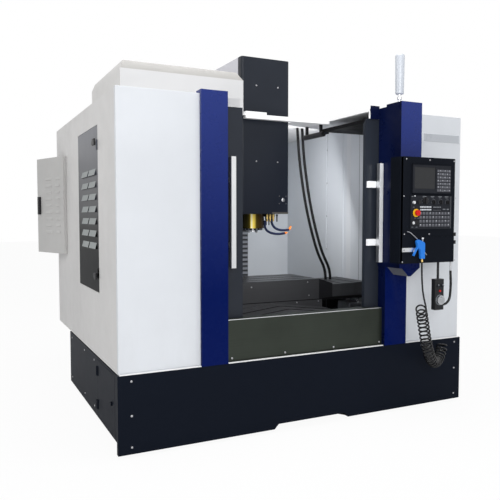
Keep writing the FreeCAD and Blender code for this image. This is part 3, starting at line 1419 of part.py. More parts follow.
def head_covers():
    """The dark front cover with rounded upright edges, and the light side sheets with their top."""
    y = ("-head_cover_front", "(head_cover_depth - head_cover_front)")
    shell = rounded(
        prism(
            "z",
            [
                ("-head_cover_half", y[0]),
                ("head_cover_half", y[0]),
                ("head_cover_half", y[1]),
                ("-head_cover_half", y[1]),
            ],
            "head_base",
            "head_cover_top",
        ),
        "z",
        "head_cover_round",
        front_only=True,
    )
    inside = block(
        ("sheet_metal - head_cover_half", "head_cover_half - sheet_metal"),
        ("sheet_metal * 3 - head_cover_front", f"{y[1]} + 1"),
        ("head_base + sheet_metal", "head_cover_top - sheet_metal"),
    )
    straps = [
        block(
            span,
            (f"{y[1]} - 12", "-spindle_ahead - head_nose + 12"),
            ("head_base + sheet_metal", "head_base + sheet_metal + 40"),
        )
        for span in mirrored_spans("head_half", "head_cover_half - sheet_metal")
    ]
    node("head_front_cover", fuse(cut(shell, inside), *straps))
    sheets = tray(
        ("-head_cover_half", "head_cover_half"), (y[1], "side_cover_rear"), ("side_cover_base", "head_cover_top"), "-y+y-z"
    )
    ribs = [
        block(span, ("0", "40"), ("side_cover_base", "side_cover_base + 60"))
        for span in mirrored_spans("head_half", "head_cover_half - sheet_metal")
    ]
    node("head_side_covers", fuse(sheets, *ribs))


def spindle_cartridge():
    """The cartridge that holds the spindle in its bearings: a wide nose and a narrower barrel in the head."""
    low, y = NOSE_BASE, "-spindle_ahead"
    nose = bar("z", ("0", y, f"{low} + nose_step"), "nose_radius", "(nose_drop - nose_step)", 24)
    ring = bar("z", ("0", y, low), "(nose_radius - nose_step)", "nose_step", 24)
    barrel = bar("z", ("0", y, "head_base"), "barrel_radius", "head_bore", 24)
    bore = rod("z", ("0", y, f"{low} - 1"), "spindle_radius + slide_gap", f"nose_drop + head_bore + 2")
    node("spindle_cartridge", cut(fuse(nose, ring, barrel), bore))


def spindle():
    """The spindle, with its tool taper, drawbar bore and two drive keys."""
    low = f"({NOSE_BASE} - spindle_drop)"
    points = [
        ("taper_radius", low),
        ("spindle_radius", low),
        ("spindle_radius", f"{low} + spindle_length"),
        ("drawbar_radius", f"{low} + spindle_length"),
        ("drawbar_radius", f"{low} + taper_depth"),
        ("taper_end_radius", f"{low} + taper_depth"),
    ]
    keys = [
        block(x, ("-spindle_ahead - key_width / 2", "key_width / 2 - spindle_ahead"), (f"{low} - key_drop", low))
        for x in mirrored_spans("taper_radius + 3", "spindle_radius - 3")
    ]
    node("spindle", fuse(turned(points, ("0", "-spindle_ahead")), *keys))


def coolant_nozzles():
    """The coolant block on the right of the cartridge, with three nozzles that point down and inwards."""
    x = ("(nose_radius + 2)", "(nose_radius + 2 + manifold_length)")
    manifold = block(
        x, ("-spindle_ahead - manifold_depth", "-spindle_ahead"), ("head_base - manifold_height", "head_base")
    )
    nozzles = []
    for index in range(3):
        across = f"{x[0]} + manifold_length * {2 * index + 1} / 6"
        y = "-spindle_ahead - manifold_depth / 2"
        nozzles.append(bar("z", (across, y, "head_base - manifold_height - 24"), "nozzle_radius", "24", 6))
        nozzles.append(bar("z", (across, y, "head_base - manifold_height - 64"), "nozzle_radius / 2", "40", 8))
    node("coolant_nozzles", fuse(manifold, *nozzles))


def feed_screws():
    """The three ball screws, each from its motor through its bearings and its nut."""
    end = "column_front - lift_way_height - bearing_length / 2"
    height = "bed_top - feed_screw_drop"
    start = "slide_gap - bed_front"
    node("y_ball_screw", rod("y", ("0", start, height), "screw_radius", f"{end} - ({start})"))
    node(
        "x_ball_screw",
        rod("x", ("-saddle_half", "-table_ahead", CROSS_SCREW), "screw_radius", "saddle_half * 2 - slide_gap"),
    )
    foot = "(bed_top + column_foot / 2 + slide_gap)"
    node(
        "z_ball_screw",
        rod("z", ("0", "column_front + lift_screw_setback", foot), "screw_radius", f"column_top - slide_gap - {foot}"),
    )


# ---------------------------------------------------------------------------
# Tool magazine
# ---------------------------------------------------------------------------

def magazine_disc():
    """The magazine's disc on its hub, with a ring of pots made as one pot and a polar pattern."""
    x = ("-magazine_left - disc_thickness", "-magazine_left")
    plate = bar("x", (x[0], "magazine_behind", "magazine_height"), "disc_radius", "disc_thickness", 24)
    window = bar("x", (f"{x[0]} - 1", "magazine_behind", "magazine_height"), "disc_hole", "(disc_thickness + 2)", 12)
    body = document.addObject("PartDesign::Body", "Body")
    pot = body.newObject("PartDesign::Pad", "Pot")
    pot.Profile = pot_outline(body)
    pot.setExpression("Length", bound("pot_length"))
    pot.Reversed = True
    document.recompute()
    ring = body.newObject("PartDesign::PolarPattern", "Ring")
    ring.Originals = [pot]
    ring.Axis = (origin_feature(body, "X_Axis"), [""])
    ring.Angle = 360
    ring.setExpression("Occurrences", bound("pot_count"))
    body.Tip = ring
    place(body, x[0], "magazine_behind", "magazine_height")
    long, short = "(disc_hole + 2)", "spoke_half"
    spokes = [
        block(
            x,
            (f"magazine_behind - {half_y}", f"magazine_behind + {half_y}"),
            (f"magazine_height - {half_z}", f"magazine_height + {half_z}"),
        )
        for half_y, half_z in ((long, short), (short, long))
    ]
    hub = bar(
        "x", (f"{x[0]} - hub_length", "magazine_behind", "magazine_height"), "hub_radius", "(disc_thickness + hub_length)"
    )
    node("magazine_disc", fuse(cut(plate, window), *spokes, hub, body))


def pot_outline(body):
    """A six-sided pot with a six-sided bore, on the pitch circle above the axis."""
    sketch = body.newObject("Sketcher::SketchObject", "PotOutline")
    sketch.AttachmentSupport = [(origin_feature(body, "YZ_Plane"), "")]
    sketch.MapMode = "FlatFace"
    for word in ("pot_radius", "pot_bore"):
        first = sketch.GeometryCount
        spots = []
        for index in range(6):
            turn = math.pi * (index + 0.5) / 3
            spots.append((math.cos(turn), math.sin(turn)))
        for index in range(6):
            ends = []
            for across, up in (spots[index], spots[(index + 1) % 6]):
                ends.append(Vector(size[word] * across, size["pot_circle"] + size[word] * up, 0))
            sketch.addGeometry(Part.LineSegment(*ends), False)
        for index in range(6):
            after = first + (index + 1) % 6
            sketch.addConstraint(Sketcher.Constraint("Coincident", first + index, 2, after, 1))
        for index, (across, up) in enumerate(spots):
            hold(sketch, first + index, "DistanceX", f"{word} * ({across:.6f})", size[word] * across, -2)
            formula = f"pot_circle + {word} * ({up:.6f})"
            hold(sketch, first + index, "DistanceY", formula, size["pot_circle"] + size[word] * up, -1)
    return sketch


def tool_arm():
    """The two-ended tool arm at rest along Y, on its shaft from the cam box above."""
    arm = block(
        ("-arm_left - arm_width / 2", "arm_width / 2 - arm_left"),
        ("-spindle_ahead - arm_reach", "arm_reach - spindle_ahead"),
        ("arm_top - arm_thickness", "arm_top"),
    )
    shaft = bar("z", ("-arm_left", "-spindle_ahead", "arm_top"), "arm_shaft_radius", "(arm_shaft - slide_gap)")
    grips = [
        bar(
            "z",
            ("-arm_left + 12", f"{end} - spindle_ahead", "arm_top - arm_thickness - 1"),
            "grip_radius",
            "(arm_thickness + 2)",
        )
        for end in ("-arm_reach", "arm_reach")
    ]
    node("tool_arm", fuse(cut(arm, *grips), shaft))


# ---------------------------------------------------------------------------
# Control box and what is on it
# ---------------------------------------------------------------------------

FACE = "(-control_front)"
PLATE = "(-control_front - plate_thickness)"
CONTROL_REAR = "(control_depth - control_front)"


def control_box():
    """The dark control box with rounded upright edges, hollow, with its two hinge leaves behind."""
    right = "(control_left + control_width)"
    shell = rounded(
        prism(
            "z",
            [
                ("control_left", FACE),
                (right, FACE),
                (right, CONTROL_REAR),
                ("control_left", CONTROL_REAR),
            ],
            "control_base",
            "control_top",
        ),
        "z",
        "control_round",
    )
    inside = block(
        ("control_left + control_wall", f"{right} - control_wall"),
        (f"{FACE} + control_wall", f"{CONTROL_REAR} - control_wall"),
        ("control_base + control_wall", "control_top - control_wall"),
    )
    holes = [button_hole("stop_right", "stop_height", "stop_stem"), button_hole("start_right", "start_height", "start_radius")]
    heights = (
        "control_base + barrel_inset + barrel_length + slide_gap",
        "control_top - barrel_inset - barrel_length * 2 - slide_gap",
    )
    leaves = [hinge_leaf(height, CONTROL_REAR, SWIVEL_BEHIND) for height in heights]
    lead_y = f"({FACE} + unit_behind + unit_depth / 2)"
    stem = bar("z", ("lead_right", lead_y, "control_base - stem_drop"), "unit_lead_radius / 2", "stem_drop", 8)
    node("control_box", fuse(cut(shell, inside, *holes), *leaves, stem))


def button_hole(x, z, radius):
    """A hole for a button's stem through the plate and the box's front."""
    return bar(
        "y",
        (x, f"{PLATE} - stop_ring - 1", z),
        f"(({radius} + slide_gap) * 1.02)",
        "(stop_ring + plate_thickness + control_wall + 2)",
    )


def plate(left, width, base, height):
    """A plate on the control's face."""
    return block((left, f"{left} + {width}"), (PLATE, FACE), (base, f"{base} + {height}"))


def control_face():
    """The display unit, the operator's panel and the lower cover on the control's face, with their keys."""
    bezel = plate("bezel_left", "bezel_width", "bezel_base", "bezel_height")
    screen = block(
        ("screen_left", "screen_left + screen_width"),
        (f"{PLATE} - 1", f"{PLATE} + screen_depth"),
        ("screen_base", "screen_base + screen_height"),
    )
    panel = plate("panel_left", "panel_width", "panel_base", "panel_height")
    cover = plate("cover_plate_left", "cover_plate_width", "cover_plate_base", "cover_plate_height")
    label = plate("label_left", "label_width", "label_base", "label_height")
    ring = bar("y", ("stop_right", f"{PLATE} - stop_ring", "stop_height"), "stop_ring_radius", "stop_ring", 20)
    lock = bar("y", ("key_lock_right", f"{PLATE} - 8", "dial_row"), "start_radius", "8")
    front = fuse(panel, ring, lock)
    stop_hole = button_hole("stop_right", "stop_height", "stop_stem")
    start_hole = button_hole("start_right", "start_height", "start_radius")
    hook = block(
        ("gun_right - hook_half", "gun_right + hook_half"),
        (f"{FACE} - gun_ahead", FACE),
        ("gun_base + gun_height - hook_half * 4", "gun_base + gun_height - hook_half * 2"),
    )
    keys = keypad("keypad_left", "keypad_base", 4, 5) + keypad("row_left", "row_base", 8, 3)
    node("control_face", group(fuse(cut(bezel, screen), *keys), cut(front, stop_hole, start_hole), cover, label, hook))


def keypad(left, base, columns, rows):
    """A pad of square keys on a plate."""
    keys = []
    for column in range(columns):
        for row in range(rows):
            x, z = f"({left} + {column} * key_pitch)", f"({base} + {row} * key_pitch)"
            keys.append(
                block((x, f"{x} + key_size"), (f"{PLATE} - key_height", PLATE), (z, f"{z} + key_size"))
            )
    return keys


def buttons_and_dials():
    """The emergency stop, the start button, the large override dial and three smaller dials."""
    inside = f"({FACE} + control_wall + 2)"
    head = bar(
        "y",
        ("stop_right", f"{PLATE} - stop_ring - button_travel - press_left - stop_head", "stop_height"),
        "stop_radius",
        "stop_head",
        20,
    )
    neck = f"({PLATE} - stop_ring - button_travel - press_left)"
    stem = bar("y", ("stop_right", neck, "stop_height"), "stop_stem", f"({inside} - {neck})")
    node("emergency_stop", fuse(head, stem))
    start = f"({PLATE} - button_travel - press_left)"
    node("start_button", bar("y", ("start_right", start, "start_height"), "start_radius", f"({inside} - {start})"))
    dial("override_dial", "override_right", "override_height", "override_radius")
    for index in range(3):
        dial(f"dial_{index + 1}", f"dial_first + {index} * dial_pitch", "dial_row", "dial_radius")


def dial(name, x, z, radius):
    """A dial with a pointer rib across its face, just clear of the panel."""
    back = f"({PLATE} - slide_gap)"
    skirt = bar("y", (x, f"{back} - dial_skirt", z), radius, "dial_skirt")
    grip = block(
        (f"{x} - {radius} / 4", f"{x} + {radius} / 4"),
        (f"{back} - dial_length", f"{back} - dial_skirt"),
        (f"{z} - {radius} * 0.9", f"{z} + {radius} * 0.9"),
    )
    node(name, fuse(skirt, grip))


GUN_BACK = "(-control_front - gun_ahead)"
GUN_FACE = "(-control_front - gun_ahead - gun_thickness)"


def air_gun():
    """The air gun on its stud: a straight grip, a short head, a nozzle that leans up and left, and a hose fitting."""
    top = "(gun_base + gun_height)"
    points = [
        ("gun_right - 10", "gun_base"),
        ("gun_right + 10", "gun_base"),
        ("gun_right + 20", f"{top} - 30"),
        ("gun_right + 16", f"{top} - 6"),
        ("gun_right + 2", top),
        ("gun_right - 38", f"{top} - 4"),
        ("gun_right - 46", f"{top} - 14"),
        ("gun_right - 34", f"{top} - 26"),
        ("gun_right - 12", f"{top} - 46"),
    ]
    body = prism("y", points, GUN_FACE, GUN_BACK)
    slot = block(
        ("gun_right - 50", "gun_right - 14"),
        (f"{GUN_FACE} + 6", f"{GUN_BACK} - 6"),
        (f"{top} - 50", f"{top} - 10"),
    )
    middle = f"({GUN_BACK} - gun_thickness / 2)"
    foot = ("gun_right - 34", middle, f"{top} - 10")
    nozzle = leaning(foot, ("gun_right - nozzle_reach", middle, f"{top} + nozzle_rise"), "gun_nozzle_radius")
    fitting = bar("z", ("gun_right", middle, "gun_base - gun_fitting"), "(air_hose_radius + 3)", "gun_fitting", 6)
    node("air_gun", fuse(cut(body, slot), nozzle, fitting))
    lever = prism(
        "y",
        [
            ("gun_right - 34", f"{top} - 14"),
            ("gun_right - 26", f"{top} - 14"),
            ("gun_right - 28", f"{top} - 40"),
            ("gun_right - 66", f"{top} - 104"),
            ("gun_right - 74", f"{top} - 100"),
            ("gun_right - 42", f"{top} - 44"),
        ],
        f"{GUN_FACE} + 6 + slide_gap",
        f"{GUN_BACK} - 6 - slide_gap",
    )
    node("air_gun_lever", lever)


def hand_unit():
    """The hand unit that hangs from the control box by its strap, and its wheel with a small crank knob."""
    front = "(-control_front + unit_behind)"
    x = ("unit_left", "unit_left + unit_width")
    case = rounded(
        prism(
            "z",
            [
                (x[0], front),
                (x[1], front),
                (x[1], f"{front} + unit_depth"),
                (x[0], f"{front} + unit_depth"),
            ],
            "unit_base",
            "unit_base + unit_height",
        ),
        "z",
        "unit_round",
    )
    middle = "(unit_left + unit_width / 2)"
    strap = block(
        (f"{middle} - 10", f"{middle} + 10"),
        (f"{front} + unit_depth / 2 - 2", f"{front} + unit_depth / 2 + 2"),
        ("unit_base + unit_height", "control_base"),
    )
    node("hand_unit", fuse(case, strap))
    wheel_z = "(unit_base + wheel_lift)"
    wheel = bar("y", (middle, f"{front} - slide_gap - wheel_depth", wheel_z), "wheel_radius", "wheel_depth", 20)
    knob = bar(
        "y", (middle, f"{front} - slide_gap - wheel_depth - 12", f"({wheel_z} + wheel_radius * 0.65)"), "6", "12", 8
    )
    node("hand_unit_wheel", fuse(wheel, knob))


# ---------------------------------------------------------------------------
# Hoses
# ---------------------------------------------------------------------------

def bends(points):
    """The edges of a path of straight runs joined by tangent arcs, and its least bend radius."""
    edges = []
    least = None
    last = points[0]
    for before, corner, after in zip(points, points[1:], points[2:]):
        back, ahead = before - corner, after - corner
        half_turn = (math.pi - back.getAngle(ahead)) / 2
        reach = 0.45 * min(back.Length, ahead.Length)
        if half_turn < 0.01:
            continue
        radius = reach / math.tan(half_turn)
        least = radius if least is None else min(least, radius)
        start = corner + back.normalize() * reach
        end = corner + ahead.normalize() * reach
        inward = ((start + end) * 0.5 - corner).normalize()
        middle = corner + inward * (radius / math.cos(half_turn) - radius)
        edges.append(Part.makeLine(last, start))
        edges.append(Part.Arc(start, middle, end).toShape())
        last = end
    edges.append(Part.makeLine(last, points[-1]))
    return edges, least


def swept(edges, radius, sides):
    """One tube of a many-sided section along a path."""
    path = Part.Wire(edges)
    first = path.Edges[0]
    start = first.Curve.value(first.FirstParameter) if first.Orientation == "Forward" else first.lastVertex().Point
    along = first.tangentAt(first.FirstParameter)
    across = along.cross(Vector(0.31, 0.57, 0.76)).normalize()
    up = along.cross(across).normalize()
    ring = []
    for index in range(sides + 1):
        turn = 2 * math.pi * index / sides
        ring.append(start + across * (radius * math.cos(turn)) + up * (radius * math.sin(turn)))
    shape = path.makePipeShell([Part.makePolygon(ring)], True, False, 1)
    section = 0.5 * sides * radius ** 2 * math.sin(2 * math.pi / sides)
    return shape, section * path.Length


def hose(name, paths, radius, sides, report=True):
    """A hose, or several side by side, as a sub-part."""
    shapes = []
    for edges in paths:
        shape, expected = swept(edges, size[radius], sides)
        if report:
            print(f"{name}: volume {shape.Volume:.0f}, section by length {expected:.0f}")
        shapes.append(shape)
    feature = document.addObject("Part::Feature", "Hose")
    feature.Shape = shapes[0] if len(shapes) == 1 else Part.makeCompound(shapes)
    node(name, feature)


def x_axis_conduits():
    """Two conduits from the roof down to the cover beside the table."""
    top = size["cabinet_top"] - size["sheet_metal"]
    foot = size["way_cover_top"]
    paths = []
    least = []
    drop = 2 * (size["sheet_metal"] + 0.5)
    for offset in (0, 44):
        points = [
            Vector(436 + offset, -70, top - 0.3),
            Vector(449 + offset, -71, 1832),
            Vector(473 + offset, -80, 1625),
            Vector(502 + offset, -97, 1415),
            Vector(541 + offset, -120, 1215),
            Vector(588 + offset, -142, 1035),
            Vector(650 + offset, -162, 910),
            Vector(650 + offset, -162, foot - drop + 0.3),
        ]
        edges, radius = bends(points)
        paths.append(edges)
        least.append(radius)
    print(f"x_axis_conduits: least bend radius {min(least):.0f}")
    hose("x_axis_conduits", paths, "conduit_radius", 6)


def hand_unit_lead():
    """The hand unit's lead: down from its rod under the box, and round into the unit's side."""
    y = -size["control_front"] + size["unit_behind"] + size["unit_depth"] / 2
    side = size["unit_left"] + size["unit_width"] + 0.3
    top = size["control_base"] - size["stem_drop"]
    entry = size["unit_base"] + size["lead_entry"]
    points = [
        Vector(size["lead_right"], y, top - 0.3),
        Vector(size["lead_right"] + 1, y, top - 28),
        Vector(size["lead_right"] + 4.5, y, top - 66),
        Vector(size["lead_right"] + 4, y, top - 112),
        Vector(size["lead_right"] + 1.5, y, entry + 78),
        Vector(size["lead_right"] - 1, y, entry + 46.5),
        Vector(size["lead_right"] - 9.8, y, entry + 25.1),
        Vector(size["lead_right"] - 26.1, y, entry + 8.8),
        Vector(size["lead_right"] - 47.5, y, entry),
        Vector(side, y, entry),
    ]
    edges, least = bends(points)
    print(f"hand_unit_lead: least bend radius {least:.0f}")
    hose("hand_unit_lead", [edges], "unit_lead_radius", 6)


def gun_foot():
    """Where the air hose leaves the gun."""
    y = -size["control_front"] - size["gun_ahead"] - size["gun_thickness"] / 2
    return Vector(size["gun_right"], y, size["gun_base"] - size["gun_fitting"] - 0.3)


COIL_START = Vector(628.9, -1336.4, 777.3)
COIL_LEAD_IN = Vector(0.3, 0, -0.954)


def air_hose_tail():
    """The plain end of the air hose, from the gun down to the first curl."""
    start = gun_foot()
    points = [
        start,
        Vector(start.x + 0.5, start.y, 1005),
        Vector(start.x + 2, start.y - 0.2, 955),
        Vector(start.x + 5.5, start.y - 0.5, 906),
        Vector(start.x + 11.5, start.y - 0.9, 860),
        COIL_START - COIL_LEAD_IN * 40,
        COIL_START - COIL_LEAD_IN * 0.3,
    ]
    edges, least = bends(points)
    print(f"air_hose_tail: least bend radius {least:.0f}")
    hose("air_hose_tail", [edges], "air_hose_radius", 6)


def droop(along):
    """A point of the drooping line that the air hose's curls wind round."""
    rows = [
        Vector(617, -1308, 762),
        Vector(681, -1271, 596),
        Vector(700, -1260, 581),
        Vector(779, -1214, 237),
        Vector(959, -1110, 302),
        Vector(1032, -1068, 436),
    ]
    while len(rows) > 1:
        rows = [low * (1 - along) + high * along for low, high in zip(rows, rows[1:])]
    return rows[0]


def stations(count):
    """Points evenly spaced along the drooping line, each with the line's direction."""
    fine = [droop(index / 400) for index in range(401)]
    reached = [0.0]
    for before, after in zip(fine, fine[1:]):
        reached.append(reached[-1] + (after - before).Length)
    found, low = [], 0
    for index in range(count + 1):
        wanted = reached[-1] * index / count
        while low < 399 and reached[low + 1] < wanted:
            low += 1
        share = (low + (wanted - reached[low]) / (reached[low + 1] - reached[low])) / 400
        way = droop(min(1, share + 0.002)) - droop(max(0, share - 0.002))
        found.append((droop(share), way.normalize()))
    return found


def air_hose_coil():
    """The curled part of the air hose, wound round a drooping line, and its end at the port on the skirt.

    The first curls still face the front and turn to follow the line. Each curl is eight short runs, which
    keeps its facets few.
    """
    turns = int(size["coil_turns"])
    steps = turns * 8
    radius = size["coil_radius"]
    facing = Vector(0.85, 0.50, 0.05).normalize()
    side = Vector(0.52, -0.85, 0)
    spots = [COIL_START]
    for index, (centre, way) in enumerate(stations(steps)):
        early = max(0, 1 - index / steps / 0.15)
        across = (way * (1 - early) + facing * early).normalize()
        side = (side - across * side.dot(across)).normalize()
        up = across.cross(side)
        turn = math.pi / 4 * index
        spots.append(centre + side * (radius * math.cos(turn)) + up * (radius * math.sin(turn)))
    port = Vector(1062, -size["skirt_front"] - 0.3, 424)
    spots += [port + Vector(0, -28, 0), port]
    path = [Part.makeLine(start, end) for start, end in zip(spots, spots[1:])]
    gap = least_gap(path, size["air_hose_radius"])
    print(f"air_hose_coil: {turns} curls of radius {radius:.0f}, least gap to itself {gap:.2f}")
    hose("air_hose_coil", [path], "air_hose_radius", 6)


def least_gap(edges, radius):
    """The least gap of a tube to itself, measured on points along its middle line."""
    points = []
    along = 0.0
    for edge in edges:
        for index in range(4):
            where = edge.FirstParameter + (edge.LastParameter - edge.FirstParameter) * index / 4
            points.append((along + edge.Length * index / 4, edge.valueAt(where)))
        along += edge.Length
    least = 1000.0
    for index, (first, point) in enumerate(points):
        for second, other in points[index + 1:]:
            if second - first > radius * 12:
                least = min(least, point.distanceToPoint(other) - 2 * radius)
    return least


# ---------------------------------------------------------------------------
# The whole machine
# ---------------------------------------------------------------------------

skirts()
front_panels()
pillars()
sill()
side_panels()
rear_cabinet()
roof_frame()
magazine_cover()
inner_liner()
coolant_tank()
sliding_door(-1)
sliding_door(1)
louvred_door()
service_door()
skirt_hatch()
levelling_feet()
bed_casting()
column_casting()
axis_motors()
z_way_cover()
y_way_cover()
lamps()
saddle_casting()
x_motor()
x_way_covers()
work_table()
table_guard()
head_casting()
head_covers()
spindle_cartridge()
spindle()
coolant_nozzles()
feed_screws()
magazine_disc()
tool_arm()
control_box()
control_face()
buttons_and_dials()
air_gun()
hand_unit()
x_axis_conduits()
hand_unit_lead()
air_hose_tail()
air_hose_coil()

document.recompute()

for feature in document.Objects:
    if "Invalid" in feature.State or "Error" in feature.State:
        raise RuntimeError(f"{feature.Label} failed: {feature.State}")
for feature in nodes:
    if feature.Shape.isNull() or not feature.Shape.isValid() or not feature.Shape.Solids:
        raise RuntimeError(f"{feature.Label} has no valid solid")

os.makedirs("parts", exist_ok=True)
for feature in nodes:
    feature.Shape.exportStep(f"parts/{feature.Label}.step")
print(f"{len(nodes)} sub-parts")
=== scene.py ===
"""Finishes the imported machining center.

Its panels and castings get their enamel, steel and glass, and its screws, seams, keys and hoses are added.
It stands in a plain studio.
"""

import json
import math
from contextlib import contextmanager

import bmesh
import bpy
from mathutils import Matrix, Vector
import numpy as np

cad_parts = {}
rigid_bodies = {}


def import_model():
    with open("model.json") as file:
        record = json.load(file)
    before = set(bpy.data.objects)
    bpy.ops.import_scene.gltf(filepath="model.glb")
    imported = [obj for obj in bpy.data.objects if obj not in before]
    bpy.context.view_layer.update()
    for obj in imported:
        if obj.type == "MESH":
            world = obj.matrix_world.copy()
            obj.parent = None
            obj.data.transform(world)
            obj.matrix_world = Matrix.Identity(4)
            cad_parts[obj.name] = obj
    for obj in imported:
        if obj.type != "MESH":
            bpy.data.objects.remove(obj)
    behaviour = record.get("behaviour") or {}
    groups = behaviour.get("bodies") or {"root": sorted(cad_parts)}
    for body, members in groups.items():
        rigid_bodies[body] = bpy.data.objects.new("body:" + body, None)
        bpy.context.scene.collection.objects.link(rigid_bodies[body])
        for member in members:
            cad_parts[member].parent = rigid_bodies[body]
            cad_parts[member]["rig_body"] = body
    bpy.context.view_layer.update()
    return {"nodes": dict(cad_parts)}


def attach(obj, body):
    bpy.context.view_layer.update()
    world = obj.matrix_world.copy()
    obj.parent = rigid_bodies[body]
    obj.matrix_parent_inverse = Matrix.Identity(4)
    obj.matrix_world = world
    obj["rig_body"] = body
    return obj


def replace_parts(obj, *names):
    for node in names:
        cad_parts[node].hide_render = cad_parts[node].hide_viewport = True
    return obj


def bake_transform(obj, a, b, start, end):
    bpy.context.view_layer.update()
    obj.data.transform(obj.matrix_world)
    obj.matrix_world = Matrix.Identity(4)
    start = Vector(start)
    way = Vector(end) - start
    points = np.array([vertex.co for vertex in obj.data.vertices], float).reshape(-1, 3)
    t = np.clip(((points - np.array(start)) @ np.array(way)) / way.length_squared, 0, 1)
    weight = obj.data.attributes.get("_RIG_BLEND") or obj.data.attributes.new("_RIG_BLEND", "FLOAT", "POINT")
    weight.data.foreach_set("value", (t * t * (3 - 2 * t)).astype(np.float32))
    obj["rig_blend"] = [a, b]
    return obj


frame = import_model()

FRONT, LEFT, RIGHT, UP, DOWN = (0, -1, 0), (-1, 0, 0), (1, 0, 0), (0, 0, 1), (0, 0, -1)


def placed(name, data):
    """A new object in the scene."""
    item = bpy.data.objects.new(name, data)
    bpy.context.scene.collection.objects.link(item)
    return item


# ---- camera ----

CAMERA_PLACE = (-2.043, -4.267, 1.338)
CAMERA_PITCH, CAMERA_YAW = 86.83, -26.16
FOCAL_LENGTH, SENSOR_WIDTH = 43.8, 36

lens = bpy.data.cameras.new("photo_lens")
lens.lens = FOCAL_LENGTH
lens.sensor_width = SENSOR_WIDTH
lens.clip_end = 100
camera = placed("photo_camera", lens)
camera.location = CAMERA_PLACE
camera.rotation_euler = (math.radians(CAMERA_PITCH), 0, math.radians(CAMERA_YAW))
bpy.context.scene.camera = camera
bpy.context.scene.view_settings.view_transform = "Standard"


# ---- finishes ----


def feed(tree, node, inputs):
    """Gives a node's inputs their values, or joins them to sockets."""
    for name, value in inputs.items():
        if isinstance(value, bpy.types.NodeSocket):
            tree.links.new(value, node.inputs[name])
        else:
            node.inputs[name].default_value = value


def add_node(tree, kind, inputs=None, **settings):
    """A new node in a tree, with its settings and inputs."""
    node = tree.nodes.new(kind)
    for word, value in settings.items():
        setattr(node, word, value)
    feed(tree, node, inputs or {})
    return node


class Recipe:
    """A material being mixed: its tree, its main shader and short calls for its nodes."""

    def __init__(self, name, colour, roughness=0.5, metallic=0.0):
        self.material = bpy.data.materials.new(name)
        self.material.use_nodes = True
        self.material.diffuse_color = (*colour, 1)
        self.tree = self.material.node_tree
        self.shader = self.tree.nodes["Principled BSDF"]
        self.feed({"Base Color": (*colour, 1), "Roughness": roughness, "Metallic": metallic})

    def feed(self, inputs):
        """Gives the main shader its inputs."""
        feed(self.tree, self.shader, inputs)

    def add(self, kind, inputs=None, **settings):
        """A new shader node."""
        return add_node(self.tree, "ShaderNode" + kind, inputs, **settings)

    def place(self, scale=(1, 1, 1), turn=(0, 0, 0)):
        """Object coordinates, stretched and turned."""
        spot = self.add("TexCoord").outputs["Object"]
        return self.add("Mapping", {"Vector": spot, "Scale": scale, "Rotation": turn}).outputs["Vector"]

    def cloud(self, scale, detail=4.0, roughness=0.55, at=None):
        """Soft noise; its value runs from about 0.3 to 0.7."""
        inputs = {"Vector": at or self.place(), "Scale": scale, "Detail": detail, "Roughness": roughness}
        return self.add("TexNoise", inputs).outputs["Fac"]

    def span(self, value, low, high, from_low=0.35, from_high=0.65):
        """A value carried from one range to another."""
        inputs = {"Value": value, "From Min": from_low, "From Max": from_high, "To Min": low, "To Max": high}
        return self.add("MapRange", inputs).outputs["Result"]

    def along(self, axis, turn=(0, 0, 0)):
        """How far a point lies along an axis."""
        return self.add("SeparateXYZ", {"Vector": self.place(turn=turn)}).outputs[axis]

    def height(self, low, high):
        """0 at one height and 1 at another."""
        return self.span(self.along("Z"), 0, 1, low, high)

    def blend(self, amount, low, high):
        """Two colours mixed; each is a colour or a socket."""
        low, high = [(*colour, 1) if isinstance(colour, tuple) else colour for colour in (low, high)]
        return self.add("Mix", {0: amount, 6: low, 7: high}, data_type="RGBA").outputs[2]

    def vary(self, value, colour, low, high):
        """A colour that noise makes darker and paler, between two factors."""
        return self.blend(self.span(value, 0, 1), shade(colour, low), shade(colour, high))

    def times(self, first, second):
        """The product of two values."""
        return self.add("Math", {0: first, 1: second}, operation="MULTIPLY").outputs[0]

    def relief(self, value, depth, strength, under=None):
        """A bump of that depth in metres, over another one."""
        inputs = {"Height": value, "Distance": depth, "Strength": strength}
        if under:
            inputs["Normal"] = under
        return self.add("Bump", inputs).outputs["Normal"]

    def finish(self, colour=None, roughness=None, normal=None):
        """The material, with its sockets joined to the main shader."""
        sockets = {"Base Color": colour, "Roughness": roughness, "Normal": normal}
        self.feed({word: socket for word, socket in sockets.items() if socket})
        return self.material


def shade(colour, factor):
    """A colour made darker or paler."""
    return tuple(min(1.0, part * factor) for part in colour)


